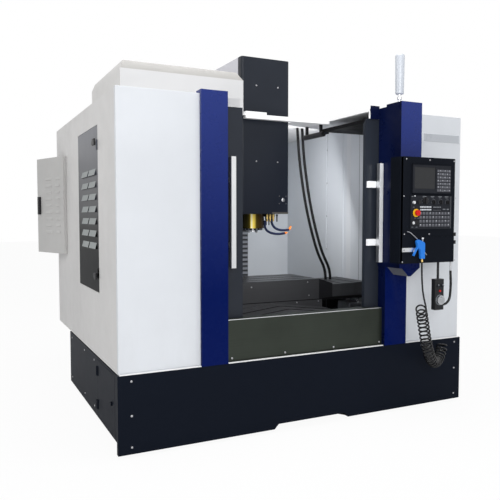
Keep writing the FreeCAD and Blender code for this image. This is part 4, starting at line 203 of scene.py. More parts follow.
def enamel(name, colour, roughness=0.38, peel=420, drift=0.04, dust=0.0, gloss=0.5, fade=None, even=1.0):
    """Sprayed and baked enamel: a fine orange peel, slow drifts of tone, and dust towards the cabinet's foot.

    A fade is painted shade: the darker tone and the lower gloss that it has low down, and the two heights
    between which they turn into its own. Even is how much of its smears and long waves shows, where it is
    seen at a low angle.
    """
    recipe = Recipe(name, colour, roughness)
    recipe.feed({"Specular IOR Level": gloss})
    tone = recipe.vary(recipe.cloud(1.3, 5), colour, 1 - drift, 1 + drift)
    if fade:
        low_tone, low_gloss, low, high = fade
        rise = recipe.height(low, high)
        tone = recipe.blend(rise, low_tone, tone)
        recipe.feed({"Specular IOR Level": recipe.span(rise, low_gloss, gloss, 0, 1)})
    if dust:
        fall = recipe.height(DUST_TOP, DUST_FOOT)
        streak = recipe.span(recipe.cloud(7, 8, 0.7, recipe.place((1, 1, 0.25))), 0, dust, 0.45, 0.75)
        tone = recipe.blend(recipe.times(fall, streak), tone, (0.33, 0.31, 0.28))
    smears = recipe.span(recipe.cloud(9, 7, 0.65), roughness - 0.06 * even, roughness + 0.10 * even)
    skin = recipe.relief(recipe.cloud(peel, 2), 0.0004, 0.22)
    waves = recipe.relief(recipe.cloud(2.2, 1), 0.004, 0.05 * even, skin)
    return recipe.finish(tone, smears, waves)


def brushed(name, colour, stretch, roughness=0.3, drift=0.1, metallic=1.0):
    """Brushed steel; stretch is the noise's scale along X, Y and Z, small along the brushing."""
    recipe = Recipe(name, colour, roughness, metallic)
    lines = recipe.cloud(1, 5, 0.7, recipe.place(stretch))
    tone = recipe.vary(recipe.cloud(3.5, 5), colour, 1 - drift, 1 + drift)
    tone = recipe.blend(recipe.span(lines, 0, 0.35), tone, shade(colour, 0.7))
    rough = recipe.span(lines, roughness - 0.07, roughness + 0.12)
    return recipe.finish(tone, rough, recipe.relief(lines, 0.0003, 0.3))


def painted_casting(name, colour, roughness=0.5):
    """Filled and painted cast iron, still faintly pitted, with oil soaked into its low places."""
    recipe = Recipe(name, colour, roughness)
    pits = recipe.cloud(55, 7, 0.6)
    oil = recipe.span(recipe.cloud(3, 6), 0, 0.5, 0.5, 0.7)
    rough = recipe.span(pits, roughness + 0.1, roughness - 0.1)
    tone = recipe.blend(oil, colour, shade(colour, 0.55))
    return recipe.finish(tone, rough, recipe.relief(pits, 0.002, 0.35))


def ground(name, colour, roughness=0.28):
    """Ground iron: fine marks across each other, stained a little by coolant."""
    recipe = Recipe(name, colour, roughness, 0.9)
    along = recipe.cloud(1, 4, 0.7, recipe.place((9, 700, 300)))
    across = recipe.cloud(1, 4, 0.7, recipe.place((700, 9, 300), (0, 0, 0.3)))
    stains = recipe.span(recipe.cloud(6, 8, 0.7), 0, 0.6, 0.5, 0.72)
    tone = recipe.blend(stains, colour, (0.20, 0.17, 0.13))
    rough = recipe.span(recipe.times(along, across), roughness - 0.06, roughness + 0.2, 0.15, 0.4)
    return recipe.finish(tone, rough, recipe.relief(along, 0.0003, 0.25, recipe.relief(across, 0.0003, 0.2)))


def moulded(name, colour, roughness=0.45, grain=1500, depth=0.0003, gloss=0.22):
    """Moulded plastic or rubber with a fine grain and a few paler scuffs."""
    recipe = Recipe(name, colour, roughness)
    recipe.feed({"Specular IOR Level": gloss})
    scuffs = recipe.span(recipe.cloud(38, 8, 0.75), 0, 0.3, 0.58, 0.75)
    pale = tuple(part * 0.8 + 0.06 for part in colour)
    rough = recipe.span(recipe.cloud(60, 5), roughness - 0.06, roughness + 0.1)
    return recipe.finish(
        recipe.blend(scuffs, colour, pale), rough, recipe.relief(recipe.cloud(grain, 2), depth, 0.4)
    )


def polished(name, colour, roughness=0.14):
    """Turned and polished steel, with faint rings of tone and finger marks."""
    recipe = Recipe(name, colour, roughness, 1.0)
    marks = recipe.cloud(22, 6, 0.6)
    tone = recipe.vary(marks, colour, 0.88, 1.05)
    return recipe.finish(tone, recipe.span(marks, roughness, roughness + 0.16))


def ribbed_steel(name, foot, pitch):
    """Steel slats: each with a painted highlight at its lower edge and painted shadow under the one above."""
    recipe = Recipe(name, (0.3, 0.3, 0.32), 0.36, 0.5)
    scaled = {0: recipe.along("Z"), 1: 1 / pitch, 2: -foot / pitch}
    share = recipe.add("Math", scaled, operation="MULTIPLY_ADD")
    part = recipe.add("Math", {0: share.outputs[0]}, operation="FRACT")
    lines = recipe.cloud(1, 4, 0.7, recipe.place((6, 6, 500)))
    # painted shadow under each slat and painted highlight at its lower edge
    slats = recipe.span(part.outputs[0], 0, 1, 0.40, 0.70)
    tone = recipe.blend(slats, (0.30, 0.32, 0.36), (0.022, 0.023, 0.027))
    tone = recipe.blend(recipe.span(lines, 0, 0.3), tone, (0.12, 0.12, 0.13))
    return recipe.finish(tone, recipe.span(lines, 0.3, 0.45))


def gilded_with_highlight(name, middle, half_width, stops):
    """Gold-coloured cartridge steel with a painted highlight down its middle and painted shade, dark olive,
    at its sides.

    The stops are its tones from left to right, as seen from the camera.
    """
    recipe = Recipe(name, (0.6, 0.42, 0.05), 0.22)
    recipe.feed({"Specular IOR Level": 0.12})
    across = recipe.along("X", (0, 0, math.radians(26.4)))
    ramp = recipe.add("ValToRGB", {0: recipe.span(across, 0, 1, middle - half_width, middle + half_width)})
    line = ramp.color_ramp
    for element, (position, colour) in zip(line.elements, (stops[0], stops[-1])):
        element.position, element.color = position, (*colour, 1)
    for position, colour in stops[1:-1]:
        line.elements.new(position).color = (*colour, 1)
    return recipe.finish(ramp.outputs[0], recipe.span(recipe.cloud(40, 4), 0.12, 0.24))


def glazing(name, tint, cover):
    """A safety pane: clear, faintly tinted, with a film of dried coolant."""
    recipe = Recipe(name, tint, 0.05)
    recipe.feed({"Alpha": recipe.span(recipe.cloud(5, 8, 0.7), cover, cover + 0.10), "IOR": 1.5})
    return recipe.finish(None, recipe.span(recipe.cloud(14, 6), 0.03, 0.16))


def lit_lens(name, colour, glow):
    """A frosted lens that gives a little light."""
    recipe = Recipe(name, colour, 0.35)
    frost = recipe.cloud(160, 4)
    recipe.feed({"Emission Color": (*colour, 1), "Emission Strength": glow, "Coat Weight": 0.3})
    tone = recipe.blend(recipe.span(frost, 0, 1), shade(colour, 0.93), colour)
    return recipe.finish(tone, None, recipe.relief(frost, 0.0006, 0.3))


DUST_TOP, DUST_FOOT = 0.95, 0.45
SLAT_FOOT, SLAT_PITCH = 0.6003, 0.0367
LEGEND_GRAIN, HOSE_GRAIN = 2600, 700
# a fade is painted shade: the darker tone and the lower gloss low down, and the heights between which they
# turn into the coat's own; on the pillars the coat's own tone at the top stands for a painted highlight
PILLAR_SHADE_AND_HIGHLIGHT = ((0.0008, 0.0065, 0.074), 0.05, 0.9, 2.05)
HEAD_PAINTED_SHADE = ((0.009, 0.011, 0.017), 0.06, 1.35, 2.1)
LINER_PAINTED_SHADE = ((0.006, 0.006, 0.007), 0.05, 0.645, 0.69)
LOUVRED_DOOR_PAINTED_SHADE = ((0.002, 0.0022, 0.0026), 0.03, 1.25, 1.84)
# the stops paint light and shade round the cartridge: a bright stripe and a white glint down its middle, dark
# olive at its sides
GILT_HIGHLIGHT_STOPS = (
    (0.0, (0.006, 0.005, 0.002)), (0.30, (0.022, 0.018, 0.003)), (0.405, (0.06, 0.045, 0.006)),
    (0.435, (0.80, 0.60, 0.08)), (0.475, (1.0, 0.97, 0.72)), (0.53, (1.0, 0.76, 0.13)),
    (0.62, (0.48, 0.34, 0.04)), (0.67, (0.055, 0.040, 0.006)), (0.80, (0.035, 0.020, 0.006)),
    (1.0, (0.006, 0.005, 0.002)),
)

front_white = enamel("front_white_enamel", (0.645, 0.665, 0.695), 0.34, dust=0.12)
side_white = enamel("side_white_enamel", (0.63, 0.62, 0.61), 0.42, dust=0.12)
cover_white = enamel("cover_white_enamel", (0.64, 0.63, 0.615), 0.42)
# painted shade: darker copies of the cover's white for the magazine cover's front and slope, and for the roof
# frame's front
front_shade_white = enamel("cover_front_painted_shade", (0.51, 0.51, 0.515), 0.42)
slope_shade_white = enamel("cover_slope_painted_shade", (0.37, 0.36, 0.345), 0.42)
head_white = enamel("head_cover_enamel", (0.56, 0.56, 0.60), 0.42)
roof_white = enamel("roof_enamel", (0.82, 0.82, 0.82), 0.42)
service_white = enamel("service_door_enamel", (0.47, 0.465, 0.455), 0.42)
royal_navy = enamel(
    "royal_navy_enamel", (0.006, 0.021, 0.165), 0.26, drift=0.10, gloss=0.34, fade=PILLAR_SHADE_AND_HIGHLIGHT
)
charcoal = enamel("charcoal_enamel", (0.0125, 0.0155, 0.0225), 0.34, drift=0.12, gloss=0.2, fade=HEAD_PAINTED_SHADE)
door_charcoal = enamel("door_enamel", (0.0155, 0.019, 0.027), 0.34, drift=0.08, gloss=0.25)
plinth_black = enamel("plinth_enamel", (0.0038, 0.0060, 0.0120), 0.46, drift=0.05, gloss=0.06, even=0.1)
liner_grey = enamel("liner_enamel", (0.60, 0.63, 0.67), 0.40, drift=0.04, fade=LINER_PAINTED_SHADE)
guard_grey = brushed("guard_steel", (0.044, 0.045, 0.049), (4, 250, 250), 0.42, metallic=0.4)
boot_black = enamel("boot_enamel", (0.009, 0.009, 0.0105), 0.36, gloss=0.2)
box_black = enamel("control_box_enamel", (0.0062, 0.0078, 0.0120), 0.42, peel=900, drift=0.1, gloss=0.04)
casting_grey = painted_casting("casting_paint", (0.36, 0.38, 0.38))
motor_black = painted_casting("motor_paint", (0.014, 0.014, 0.016), 0.45)
sill_steel = brushed("sill_steel", (0.035, 0.042, 0.033), (1.2, 260, 260), 0.36, 0.12, metallic=0.7)
hood_steel = brushed("hood_steel", (0.060, 0.061, 0.066), (260, 3, 260), 0.36, metallic=0.5)
handle_silver = brushed("handle_aluminium", (0.80, 0.81, 0.82), (300, 300, 3), 0.32, 0.04)
# painted highlight: a pale enamel for the front of the right door's handle and its brackets, standing in for
# the light that the aluminium catches
handle_highlight_pale = enamel("handle_painted_highlight", (0.74, 0.75, 0.77), 0.4, gloss=0.3)
table_iron = ground("table_iron", (0.055, 0.055, 0.058))
bright_steel = polished("bright_steel", (0.66, 0.67, 0.69))
gilt = gilded_with_highlight("gilt_painted_highlight", 0.0644, 0.09, GILT_HIGHLIGHT_STOPS)
slat_steel = ribbed_steel("column_cover_slats", SLAT_FOOT, SLAT_PITCH)
door_graphite = enamel(
    "louvred_door_enamel", (0.055, 0.060, 0.080), 0.32, gloss=0.34, fade=LOUVRED_DOOR_PAINTED_SHADE, even=0.1
)
# painted highlight: a paler grey for the upward faces of the louvres, where light falls on them
louvre_highlight_grey = enamel("louvre_painted_highlight", (0.20, 0.225, 0.225), 0.34, gloss=0.35, even=0.2)
shaded_navy = enamel("shaded_navy_enamel", (0.001, 0.0035, 0.026), 0.3, drift=0.10, gloss=0.15)
gusset_grey = enamel("gusset_enamel", (0.105, 0.11, 0.125), 0.4)
band_grey = enamel("band_enamel", (0.44, 0.46, 0.49), 0.3)
# painted shade: a near-black coat for the saddle, the cabin's floor, the Y cover's front steps, the louvres'
# undersides and the right door's canopy, where they lie in shade
painted_shade_black = enamel("painted_shade_enamel", (0.0025, 0.0025, 0.003), 0.6, gloss=0.1)
pale_steel = brushed("pale_steel", (0.46, 0.47, 0.50), (260, 3, 260), 0.32)
lip_brown = enamel("head_lip", (0.045, 0.042, 0.038), 0.4)
legend_white = moulded("legend_white", (0.62, 0.64, 0.68), 0.5, LEGEND_GRAIN)
legend_grey = moulded("legend_grey", (0.20, 0.21, 0.23), 0.5, LEGEND_GRAIN)
cap_grey = moulded("cap_grey", (0.095, 0.097, 0.112), 0.5, LEGEND_GRAIN)
seam_dark = enamel("seam_shadow", (0.10, 0.105, 0.115), 0.5)
screw_zinc = polished("screw_zinc", (0.50, 0.50, 0.52), 0.3)
screw_dull = polished("screw_dull", (0.13, 0.13, 0.14), 0.35)
conduit_black = moulded("conduit_sleeve", (0.003, 0.003, 0.0035), 0.30, HOSE_GRAIN, 0.0002, 0.2)
black_rubber = moulded("hose_rubber", (0.0040, 0.0040, 0.0046), 0.24, HOSE_GRAIN, 0.0001, 0.42)
black_plastic = moulded("black_plastic", (0.014, 0.014, 0.016), 0.4)
plate_grey = moulded("plate_plastic", (0.016, 0.0175, 0.0225), 0.5, 2200, gloss=0.10)
stop_red = moulded("stop_red", (0.60, 0.012, 0.010), 0.3)
ring_yellow = moulded("ring_yellow", (0.80, 0.45, 0.010), 0.4)
cap_white = moulded("cap_white", (0.66, 0.67, 0.69), 0.4)
gun_blue = moulded("gun_blue", (0.020, 0.19, 0.68), 0.35)
orange = moulded("nozzle_orange", (0.75, 0.20, 0.02), 0.35)
hose_navy = moulded("nozzle_hose", (0.015, 0.022, 0.06), 0.4)
brass = polished("brass_fitting", (0.70, 0.50, 0.18), 0.25)
pane_glass = glazing("door_glazing", (0.30, 0.34, 0.35), 0.30)
display_glass = moulded("display_glass", (0.021, 0.022, 0.024), 0.12, 3000, 0.00005, 0.25)
lamp_white = lit_lens("lamp_lens", (0.52, 0.55, 0.60), 0.06)

COATED_NODES = (
    (plinth_black, "skirts skirt_hatch"),
    (front_white, "left_front_panel right_front_panel"),
    (royal_navy, "left_pillar right_pillar"),
    (sill_steel, "sill"),
    (side_white, "left_side_panel right_side_panel rear_cabinet coolant_tank"),
    (roof_white, "roof_frame"),
    (cover_white, "magazine_cover"),
    (liner_grey, "inner_liner"),
    (casting_grey, "levelling_feet bed_casting column_casting head_casting magazine_disc"),
    (motor_black, "axis_motors x_motor"),
    (slat_steel, "z_way_cover"),
    (hood_steel, "y_way_cover"),
    (lamp_white, "signal_lamp"),
    # painted shade: the saddle is near black where it lies under the table
    (painted_shade_black, "saddle_casting"),
    (guard_grey, "x_way_covers table_guard"),
    (table_iron, "work_table"),
    (charcoal, "head_front_cover"),
    (head_white, "head_side_covers"),
    (gilt, "spindle_cartridge"),
    (bright_steel, "spindle x_ball_screw y_ball_screw z_ball_screw tool_arm hand_unit_wheel"),
    (door_charcoal, "left_door right_door"),
    (pane_glass, "left_window right_window"),
    (door_graphite, "louvred_door"),
    (service_white, "service_door"),
    (box_black, "control_box"),
    (plate_grey, "control_face"),
    (gun_blue, "air_gun air_gun_lever"),
    (black_plastic, "work_lamp coolant_nozzles hand_unit override_dial dial_1 dial_2 dial_3"),
    (black_rubber, "x_axis_conduits hand_unit_lead air_hose_tail air_hose_coil"),
    (stop_red, "emergency_stop"),
    (cap_white, "start_button"),
)
for coat, nodes in COATED_NODES:
    for node in nodes.split():
        for slot in frame["nodes"][node].material_slots:
            slot.material = coat


def coat_faces(mesh, coat, box, way=None, least=0.0):
    """Gives a second coat to the faces that lie in a box and, where a way is given, look that way."""
    low, high = box
    mesh.materials.append(coat)
    for face in mesh.polygons:
        inside = all(low[axis] <= face.center[axis] <= high[axis] for axis in range(3))
        if inside and (way is None or face.normal.dot(Vector(way)) >= least):
            face.material_index = len(mesh.materials) - 1


ANYWHERE = (-9, -9, -9), (9, 9, 9)
LOUVRES = (-1.30, -0.52, 1.05), (-1.20, 0.05, 1.75)
LEFT_HANDLE = (-0.59, -1.0, 1.0), (-0.50, -0.9355, 1.7)
RIGHT_HANDLE = (0.50, -1.0, 1.0), (0.59, -0.9355, 1.7)
SECOND_COATS = (
    # painted shade on the cabin's floor
    ("inner_liner", painted_shade_black, ((-1, -1, 0.3), (1, 1, 0.75)), UP, 0.5),
    # painted shade on the Y cover's front-facing steps
    ("y_way_cover", painted_shade_black, ANYWHERE, FRONT, 0.4),
    # the louvres' upward faces get a painted highlight and their downward faces painted shade
    ("louvred_door", louvre_highlight_grey, LOUVRES, UP, 0.15),
    ("louvred_door", painted_shade_black, LOUVRES, DOWN, 0.15),
    ("control_face", handle_silver, ((0.449, -1.33, 1.11), (0.564, -1.3155, 1.15))),
    ("control_face", box_black, ((0.70, -1.33, 1.04), (0.88, -1.30, 1.2105))),
    ("control_face", display_glass, ((0.54, -1.3185, 1.509), (0.711, -1.31, 1.645))),
    ("spindle_cartridge", plate_grey, ((-0.1, -0.3, 1.2), (0.1, 0.1, 1.2485))),
    ("table_guard", boot_black, ((0.40, -1, 0.7), (0.60, 0.1, 0.90))),
    # painted shade on the roof frame's front
    ("roof_frame", front_shade_white, ((-1.3, -0.95, 1.9), (0.0, -0.93, 2.1)), FRONT, 0.5),
    # painted shade under and inside the right door's canopy
    ("right_door", painted_shade_black, ((0.40, -1.0, 1.9), (1.1, -0.3, 2.0)), DOWN, 0.5),
    ("right_door", painted_shade_black, ((0.40, -0.93, 1.9), (1.1, -0.3, 2.0)), LEFT, 0.5),
    ("left_door", handle_silver, LEFT_HANDLE),
    ("right_door", handle_silver, RIGHT_HANDLE),
    # painted highlight on the right handle's front face
    ("right_door", handle_highlight_pale, RIGHT_HANDLE, FRONT, 0.5),
)
for node, coat, box, *look in SECOND_COATS:
    coat_faces(frame["nodes"][node].data, coat, box, *look)


# ---- forms ----

SHARP_EDGE = math.radians(32)
EASED_EDGE = math.radians(34)


def ease(item, width):
    """Eases the edges of a piece."""
    bevel = item.modifiers.new("eased_edges", "BEVEL")
    bevel.width = width
    bevel.segments = 2
    bevel.limit_method = "ANGLE"
    bevel.angle_limit = EASED_EDGE
    bevel.harden_normals = True


def mesh_of(name, form):
    """The form as a mesh."""
    mesh = bpy.data.meshes.new(name)
    form.to_mesh(mesh)
    form.free()
    return mesh


def smooth_piece(name, mesh, body, soften):
    """A shaded piece that rides on a body, its edges eased by a bevel."""
    item = placed(name, mesh)
    if soften:
        ease(item, soften)
    mesh.shade_smooth()
    mesh.set_sharp_from_angle(angle=SHARP_EDGE)
    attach(item, body)
    return item


@contextmanager
def piece(name, coats, body, soften=0.0, stands_for=None):
    """Gives out an empty form, and turns it into a piece with its coats when it has been filled."""
    form = bmesh.new()
    yield form
    bmesh.ops.remove_doubles(form, verts=form.verts, dist=1e-6)
    bmesh.ops.recalc_face_normals(form, faces=form.faces)
    mesh = mesh_of(name, form)
    for coat in coats:
        mesh.materials.append(coat)
    item = smooth_piece(name, mesh, body, soften)
    if stands_for:
        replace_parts(item, stands_for)


def paint(verts, coat):
    """Gives a coat to the faces round new corners."""
    for face in {face for vert in verts for face in vert.link_faces}:
        face.material_index = coat


def block(form, low, high, coat=0):
    """Adds a box."""
    made = bmesh.ops.create_cube(form, size=1)
    centre = [(a + b) / 2 for a, b in zip(low, high)]
    spans = [b - a for a, b in zip(low, high)]
    for vert in made["verts"]:
        vert.co = Vector(c + v * s for c, v, s in zip(centre, vert.co, spans))
    paint(made["verts"], coat)


def rod(form, start, end, radius, sides=24, coat=0):
    """Adds a rod from one point to another."""
    start, end = Vector(start), Vector(end)
    way = end - start
    turn = way.to_track_quat("Z", "Y").to_matrix().to_4x4()
    made = bmesh.ops.create_cone(
        form, cap_ends=True, segments=sides, radius1=radius, radius2=radius, depth=way.length,
        matrix=Matrix.Translation((start + end) / 2) @ turn,
    )
    paint(made["verts"], coat)


def lathe(form, points, origin, way, sides=32, coat=0):
    """Adds a closed turned form; its points give distance along its axis and radius."""
    turn = Vector(way).to_track_quat("Z", "Y")
    rings = []
    for along, radius in points:
        if radius < 1e-6:
            ring = [form.verts.new(Vector(origin) + turn @ Vector((0, 0, along)))] * sides
        else:
            ring = []
            for index in range(sides):
                angle = 2 * math.pi * index / sides
                spot = Vector((radius * math.cos(angle), radius * math.sin(angle), along))
                ring.append(form.verts.new(Vector(origin) + turn @ spot))
        rings.append(ring)
    for low, high in zip(rings, rings[1:]):
        for index in range(sides):
            corners = [low[index], low[(index + 1) % sides], high[(index + 1) % sides], high[index]]
            corners = [corner for number, corner in enumerate(corners) if corner not in corners[:number]]
            if len(corners) > 2:
                form.faces.new(corners).material_index = coat
    for ring in (rings[0], rings[-1]):
        if len(set(ring)) == sides:
            form.faces.new(ring).material_index = coat


def panel(form, points, front, rear):
    """Adds an outline in the front view, pushed through from front to rear."""
    rings = [[form.verts.new((x, y, z)) for x, z in points] for y in (front, rear)]
    form.faces.new(rings[0])
    form.faces.new(rings[1])
    for index in range(len(points)):
        after = (index + 1) % len(points)
        form.faces.new([rings[0][index], rings[0][after], rings[1][after], rings[1][index]])


def boxes(name, coat, body, corners, soften=0.0):
    """A piece made of boxes, each given by its low and its high corner."""
    with piece(name, [coat], body, soften) as form:
        for low, high in corners:
            block(form, low, high)


def rods(name, coat, body, lines):
    """A piece made of rods, each given by its two ends, its radius and its sides."""
    with piece(name, [coat], body) as form:
        for line in lines:
            rod(form, *line)


def turned(name, coat, body, profile, origin, way, sides):
    """A piece turned round one axis."""
    with piece(name, [coat], body) as form:
        lathe(form, profile, origin, way, sides)


def round_spots(count, centre, radius, first=0.0, step=None):
    """Points on a circle in the front view."""
    step = 360 / count if step is None else step
    turns = [math.radians(first + step * index) for index in range(count)]
    x, y, z = centre
    return [Vector((x + radius * math.cos(turn), y, z + radius * math.sin(turn))) for turn in turns]


# node, width of the eased edge, coat, body, and second coats as coat_faces takes them
EASED = (
    ("skirts", 0.004, plinth_black, "frame", ()),
    ("left_front_panel", 0.004, front_white, "frame", ()),
    ("right_front_panel", 0.004, front_white, "frame", (
        (band_grey, ((0.75, -1.01, 1.86), (1.24, -0.9975, 1.95))),
    )),
    ("left_pillar", 0.006, royal_navy, "frame", ()),
    ("right_pillar", 0.004, royal_navy, "frame", (
        (shaded_navy, ((0.5, -1.2, 0.4), (0.8, -0.9, 2.1)), LEFT, 0.7),
        (gusset_grey, ((0.5, -1.2, 0.90), (0.8, -1.02, 1.02))),
    )),
    ("sill", 0.003, sill_steel, "frame", ()),
    ("head_front_cover", 0.004, charcoal, "head", ()),
    ("head_side_covers", 0.003, head_white, "head", ()),
    ("service_door", 0.003, service_white, "service_leaf", (
        (black_plastic, ((-1.42, 0.89, 1.35), (-1.378, 0.94, 1.50))),
    )),
    ("hand_unit", 0.003, black_plastic, "control", ()),
    ("control_box", 0.003, box_black, "control", ()),
)
for node, width, coat, body, others in EASED:
    form = bmesh.new()
    form.from_mesh(frame["nodes"][node].data)
    bmesh.ops.remove_doubles(form, verts=form.verts, dist=1e-5)
    bmesh.ops.dissolve_limit(form, angle_limit=math.radians(1), verts=form.verts, edges=form.edges)
    mesh = mesh_of(node + "_finished", form)
    mesh.materials.append(coat)
    for other in others:
        coat_faces(mesh, *other)
    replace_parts(smooth_piece(node + "_finished", mesh, body, width), node)


# ---- fasteners, set out by geometry nodes ----

SCREW_RADIUS, SCREW_HEIGHT = 0.0065, 0.0035


def screw_head():
    """One screw head, upright: a domed button with a round socket."""
    profile = ((0, 1), (0.55, 1), (0.9, 0.8), (1, 0.55), (1, 0.42), (0.35, 0.40), (0.30, 0))
    form = bmesh.new()
    lathe(form, [(SCREW_HEIGHT * up, SCREW_RADIUS * out) for up, out in profile], (0, 0, 0), UP, 12)
    bmesh.ops.recalc_face_normals(form, faces=form.faces)
    return placed("button_screw_pattern", mesh_of("button_screw_pattern", form))


def scatter_tree(coat):
    """A tree that puts a screw head on every point, turned to the point's normal, and dresses it."""
    tree = bpy.data.node_groups.new("set_screws", "GeometryNodeTree")
    for name, kind in (("Geometry", "Geometry"), ("Head", "Object"), ("Size", "Float")):
        tree.interface.new_socket(name, in_out="INPUT", socket_type="NodeSocket" + kind)
    tree.interface.new_socket("Geometry", in_out="OUTPUT", socket_type="NodeSocketGeometry")

    def step(kind, outlet, inputs, **settings):
        return add_node(tree, kind, inputs, **settings).outputs[outlet]

    entry = add_node(tree, "NodeGroupInput").outputs
    head = step("GeometryNodeObjectInfo", "Geometry", {"Object": entry["Head"]}, transform_space="ORIGINAL")
    named = {"Name": "facing"}
    facing = step("GeometryNodeInputNamedAttribute", "Attribute", named, data_type="FLOAT_VECTOR")
    turn = step("FunctionNodeAlignRotationToVector", "Rotation", {"Vector": facing}, axis="Z")
    spots = {"Points": entry["Geometry"], "Instance": head, "Rotation": turn, "Scale": entry["Size"]}
    copies = step("GeometryNodeInstanceOnPoints", "Instances", spots)
    real = step("GeometryNodeRealizeInstances", "Geometry", {"Geometry": copies})
    dressed = step("GeometryNodeSetMaterial", "Geometry", {"Geometry": real, "Material": coat})
    add_node(tree, "NodeGroupOutput", {"Geometry": dressed})
    return tree


def plain_mesh(item):
    """The mesh of an object as its modifiers or its curve make it."""
    bpy.context.view_layer.update()
    return bpy.data.meshes.new_from_object(item.evaluated_get(bpy.context.evaluated_depsgraph_get()))


def bake(item, name, body):
    """Turns a modified object or a curve into a plain mesh piece on a body."""
    mesh = plain_mesh(item)
    mesh.name = name
    source = item.data
    bpy.data.objects.remove(item)
    (bpy.data.meshes if isinstance(source, bpy.types.Mesh) else bpy.data.curves).remove(source)
    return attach(placed(name, mesh), body)


button_screw = screw_head()
screw_trees = {
    "zinc": scatter_tree(screw_zinc), "black": scatter_tree(black_plastic), "dull": scatter_tree(screw_dull)
}


def screws(name, body, spots, finish="zinc", size=1.0):
    """Sets a screw head at every spot; a spot is a point and the way it faces."""
    mesh = bpy.data.meshes.new(name + "_spots")
    mesh.from_pydata([point for point, _ in spots], [], [])
    facing = mesh.attributes.new("facing", "FLOAT_VECTOR", "POINT")
    for index, (_, way) in enumerate(spots):
        facing.data[index].vector = way
    item = placed(name + "_spots", mesh)
    modifier = item.modifiers.new("set_screws", "NODES")
    modifier.node_group = screw_trees[finish]
    entries = modifier.node_group.interface.items_tree
    sockets = {entry.name: entry.identifier for entry in entries if entry.in_out == "INPUT"}
    modifier[sockets["Head"]] = button_screw
    modifier[sockets["Size"]] = size
    bake(item, name, body)


def facing_front(y, spots):
    """Screw spots on a plane that faces the front."""
    return [((x, y, z), FRONT) for x, z in spots]


def facing_side(x, ys, zs):
    """Screw spots on a plane that faces left or right, away from the middle."""
    return [((x, y, z), LEFT if x < 0 else RIGHT) for y in ys for z in zs]


SKIRT_FRONT, SKIRT_SIDE = -1.0155, 1.2255
HEAD_FRONT, HEAD_SIDE = -0.3655, 0.1925
LINER_SIDE = 0.8495
screws(
    "skirt_screws", "frame",
    facing_front(SKIRT_FRONT, [(-1.173, z) for z in (0.430, 0.237, 0.060)])
    + facing_front(SKIRT_FRONT, [(1.195, z) for z in (0.434, 0.246, 0.060)])
    + facing_side(-SKIRT_SIDE, (-0.93, -0.30, 0.02, 0.50), (0.405, 0.10))
    + facing_side(SKIRT_SIDE, (-0.93, -0.45, 0.02, 0.50), (0.405, 0.10)),
)
screws("sill_screws", "frame", facing_front(-0.9855, [(x, 0.488) for x in (-0.551, -0.187, 0.175, 0.544)]))
screws(
    "head_cover_screws", "head",
    facing_front(HEAD_FRONT, [(x, z) for x in (-0.076, 0.097) for z in (2.263, 1.730)])
    + facing_side(-HEAD_SIDE, (-0.13, 0.17), (2.38, 1.62))
    + facing_side(HEAD_SIDE, (-0.13, 0.17), (2.38, 1.62)),
    size=0.9,
)
screws(
    "control_box_screws", "control",
    facing_front(-1.3155, (
        (0.478, 1.690), (0.666, 1.690), (0.868, 1.690), (0.462, 1.462), (0.879, 1.455), (0.468, 1.228),
        (0.668, 1.226), (0.884, 1.228), (0.455, 1.055), (0.883, 1.055),
    )),
    size=0.75,
)
LINER_SCREW_HEIGHTS = (1.90, 1.62, 1.34, 1.06, 0.80)
screws(
    "liner_screws", "frame",
    [((LINER_SIDE, 0.129, z), LEFT) for z in LINER_SCREW_HEIGHTS]
    + [((-LINER_SIDE, 0.129, z), RIGHT) for z in LINER_SCREW_HEIGHTS],
    "black", 0.9,
)


# ---- hoses ----

AIR_HOSE_RADIUS, LEAD_RADIUS, CONDUIT_RADIUS = 0.0055, 0.008, 0.011
CURL_COUNT, CURL_STEPS, CURL_RADIUS = 24, 12, 0.0335
# the share of the coil in which its curls turn from the front to the line that they follow
TURNING_SHARE = 0.15


def line_of(points):
    """A smooth route through the control points, as a curve."""
    curve = bpy.data.curves.new("route", "CURVE")
    curve.dimensions = "3D"
    spline = curve.splines.new("NURBS")
    spline.points.add(len(points) - 1)
    for spot, point in zip(spline.points, points):
        spot.co = (*point, 1)
    spline.order_u = 3
    spline.use_endpoint_u = True
    spline.resolution_u = 6
    return curve


def hose(name, points, radius, coat, body):
    """A round hose along a route."""
    curve = line_of(points)
    curve.bevel_depth = radius
    curve.bevel_resolution = 5
    curve.use_fill_caps = True
    curve.materials.append(coat)
    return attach(placed(name, curve), body)


def spots_along(points):
    """Close points along a smooth route."""
    curve = line_of(points)
    curve.resolution_u = 12
    item = placed("measure", curve)
    mesh = plain_mesh(item)
    spots = [vert.co.copy() for vert in mesh.vertices]
    bpy.data.objects.remove(item)
    bpy.data.meshes.remove(mesh)
    bpy.data.curves.remove(curve)
    return spots


def distances(spots):
    """How far along its route each point lies."""
    reached = [0.0]
    for before, after in zip(spots, spots[1:]):
        reached.append(reached[-1] + (after - before).length)
    return reached


def even_shares(reached, count):
    """For evenly spaced places along a route, the point before each and the share of the way to the next."""
    shares, low = [], 0
    for index in range(count + 1):
        wanted = reached[-1] * index / count
        while low < len(reached) - 2 and reached[low + 1] < wanted:
            low += 1
        shares.append((low, (wanted - reached[low]) / (reached[low + 1] - reached[low])))
    return shares


def bending_cord(name, points, radius, coat, first, last, nodes=()):
    """A cord that bends between the bodies that hold its two ends; one of them is the frame."""
    spots = spots_along(points)
    item = bake(hose(name + "_line", points, radius, coat, first), name, first)
    item.parent = None
    if nodes:
        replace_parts(item, *nodes)
    held = ((first, points[0]), (last, points[-1]))
    (still, start), (mover, end) = sorted(held, key=lambda one: one[0] != "frame")
    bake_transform(item, still, mover, start, end)


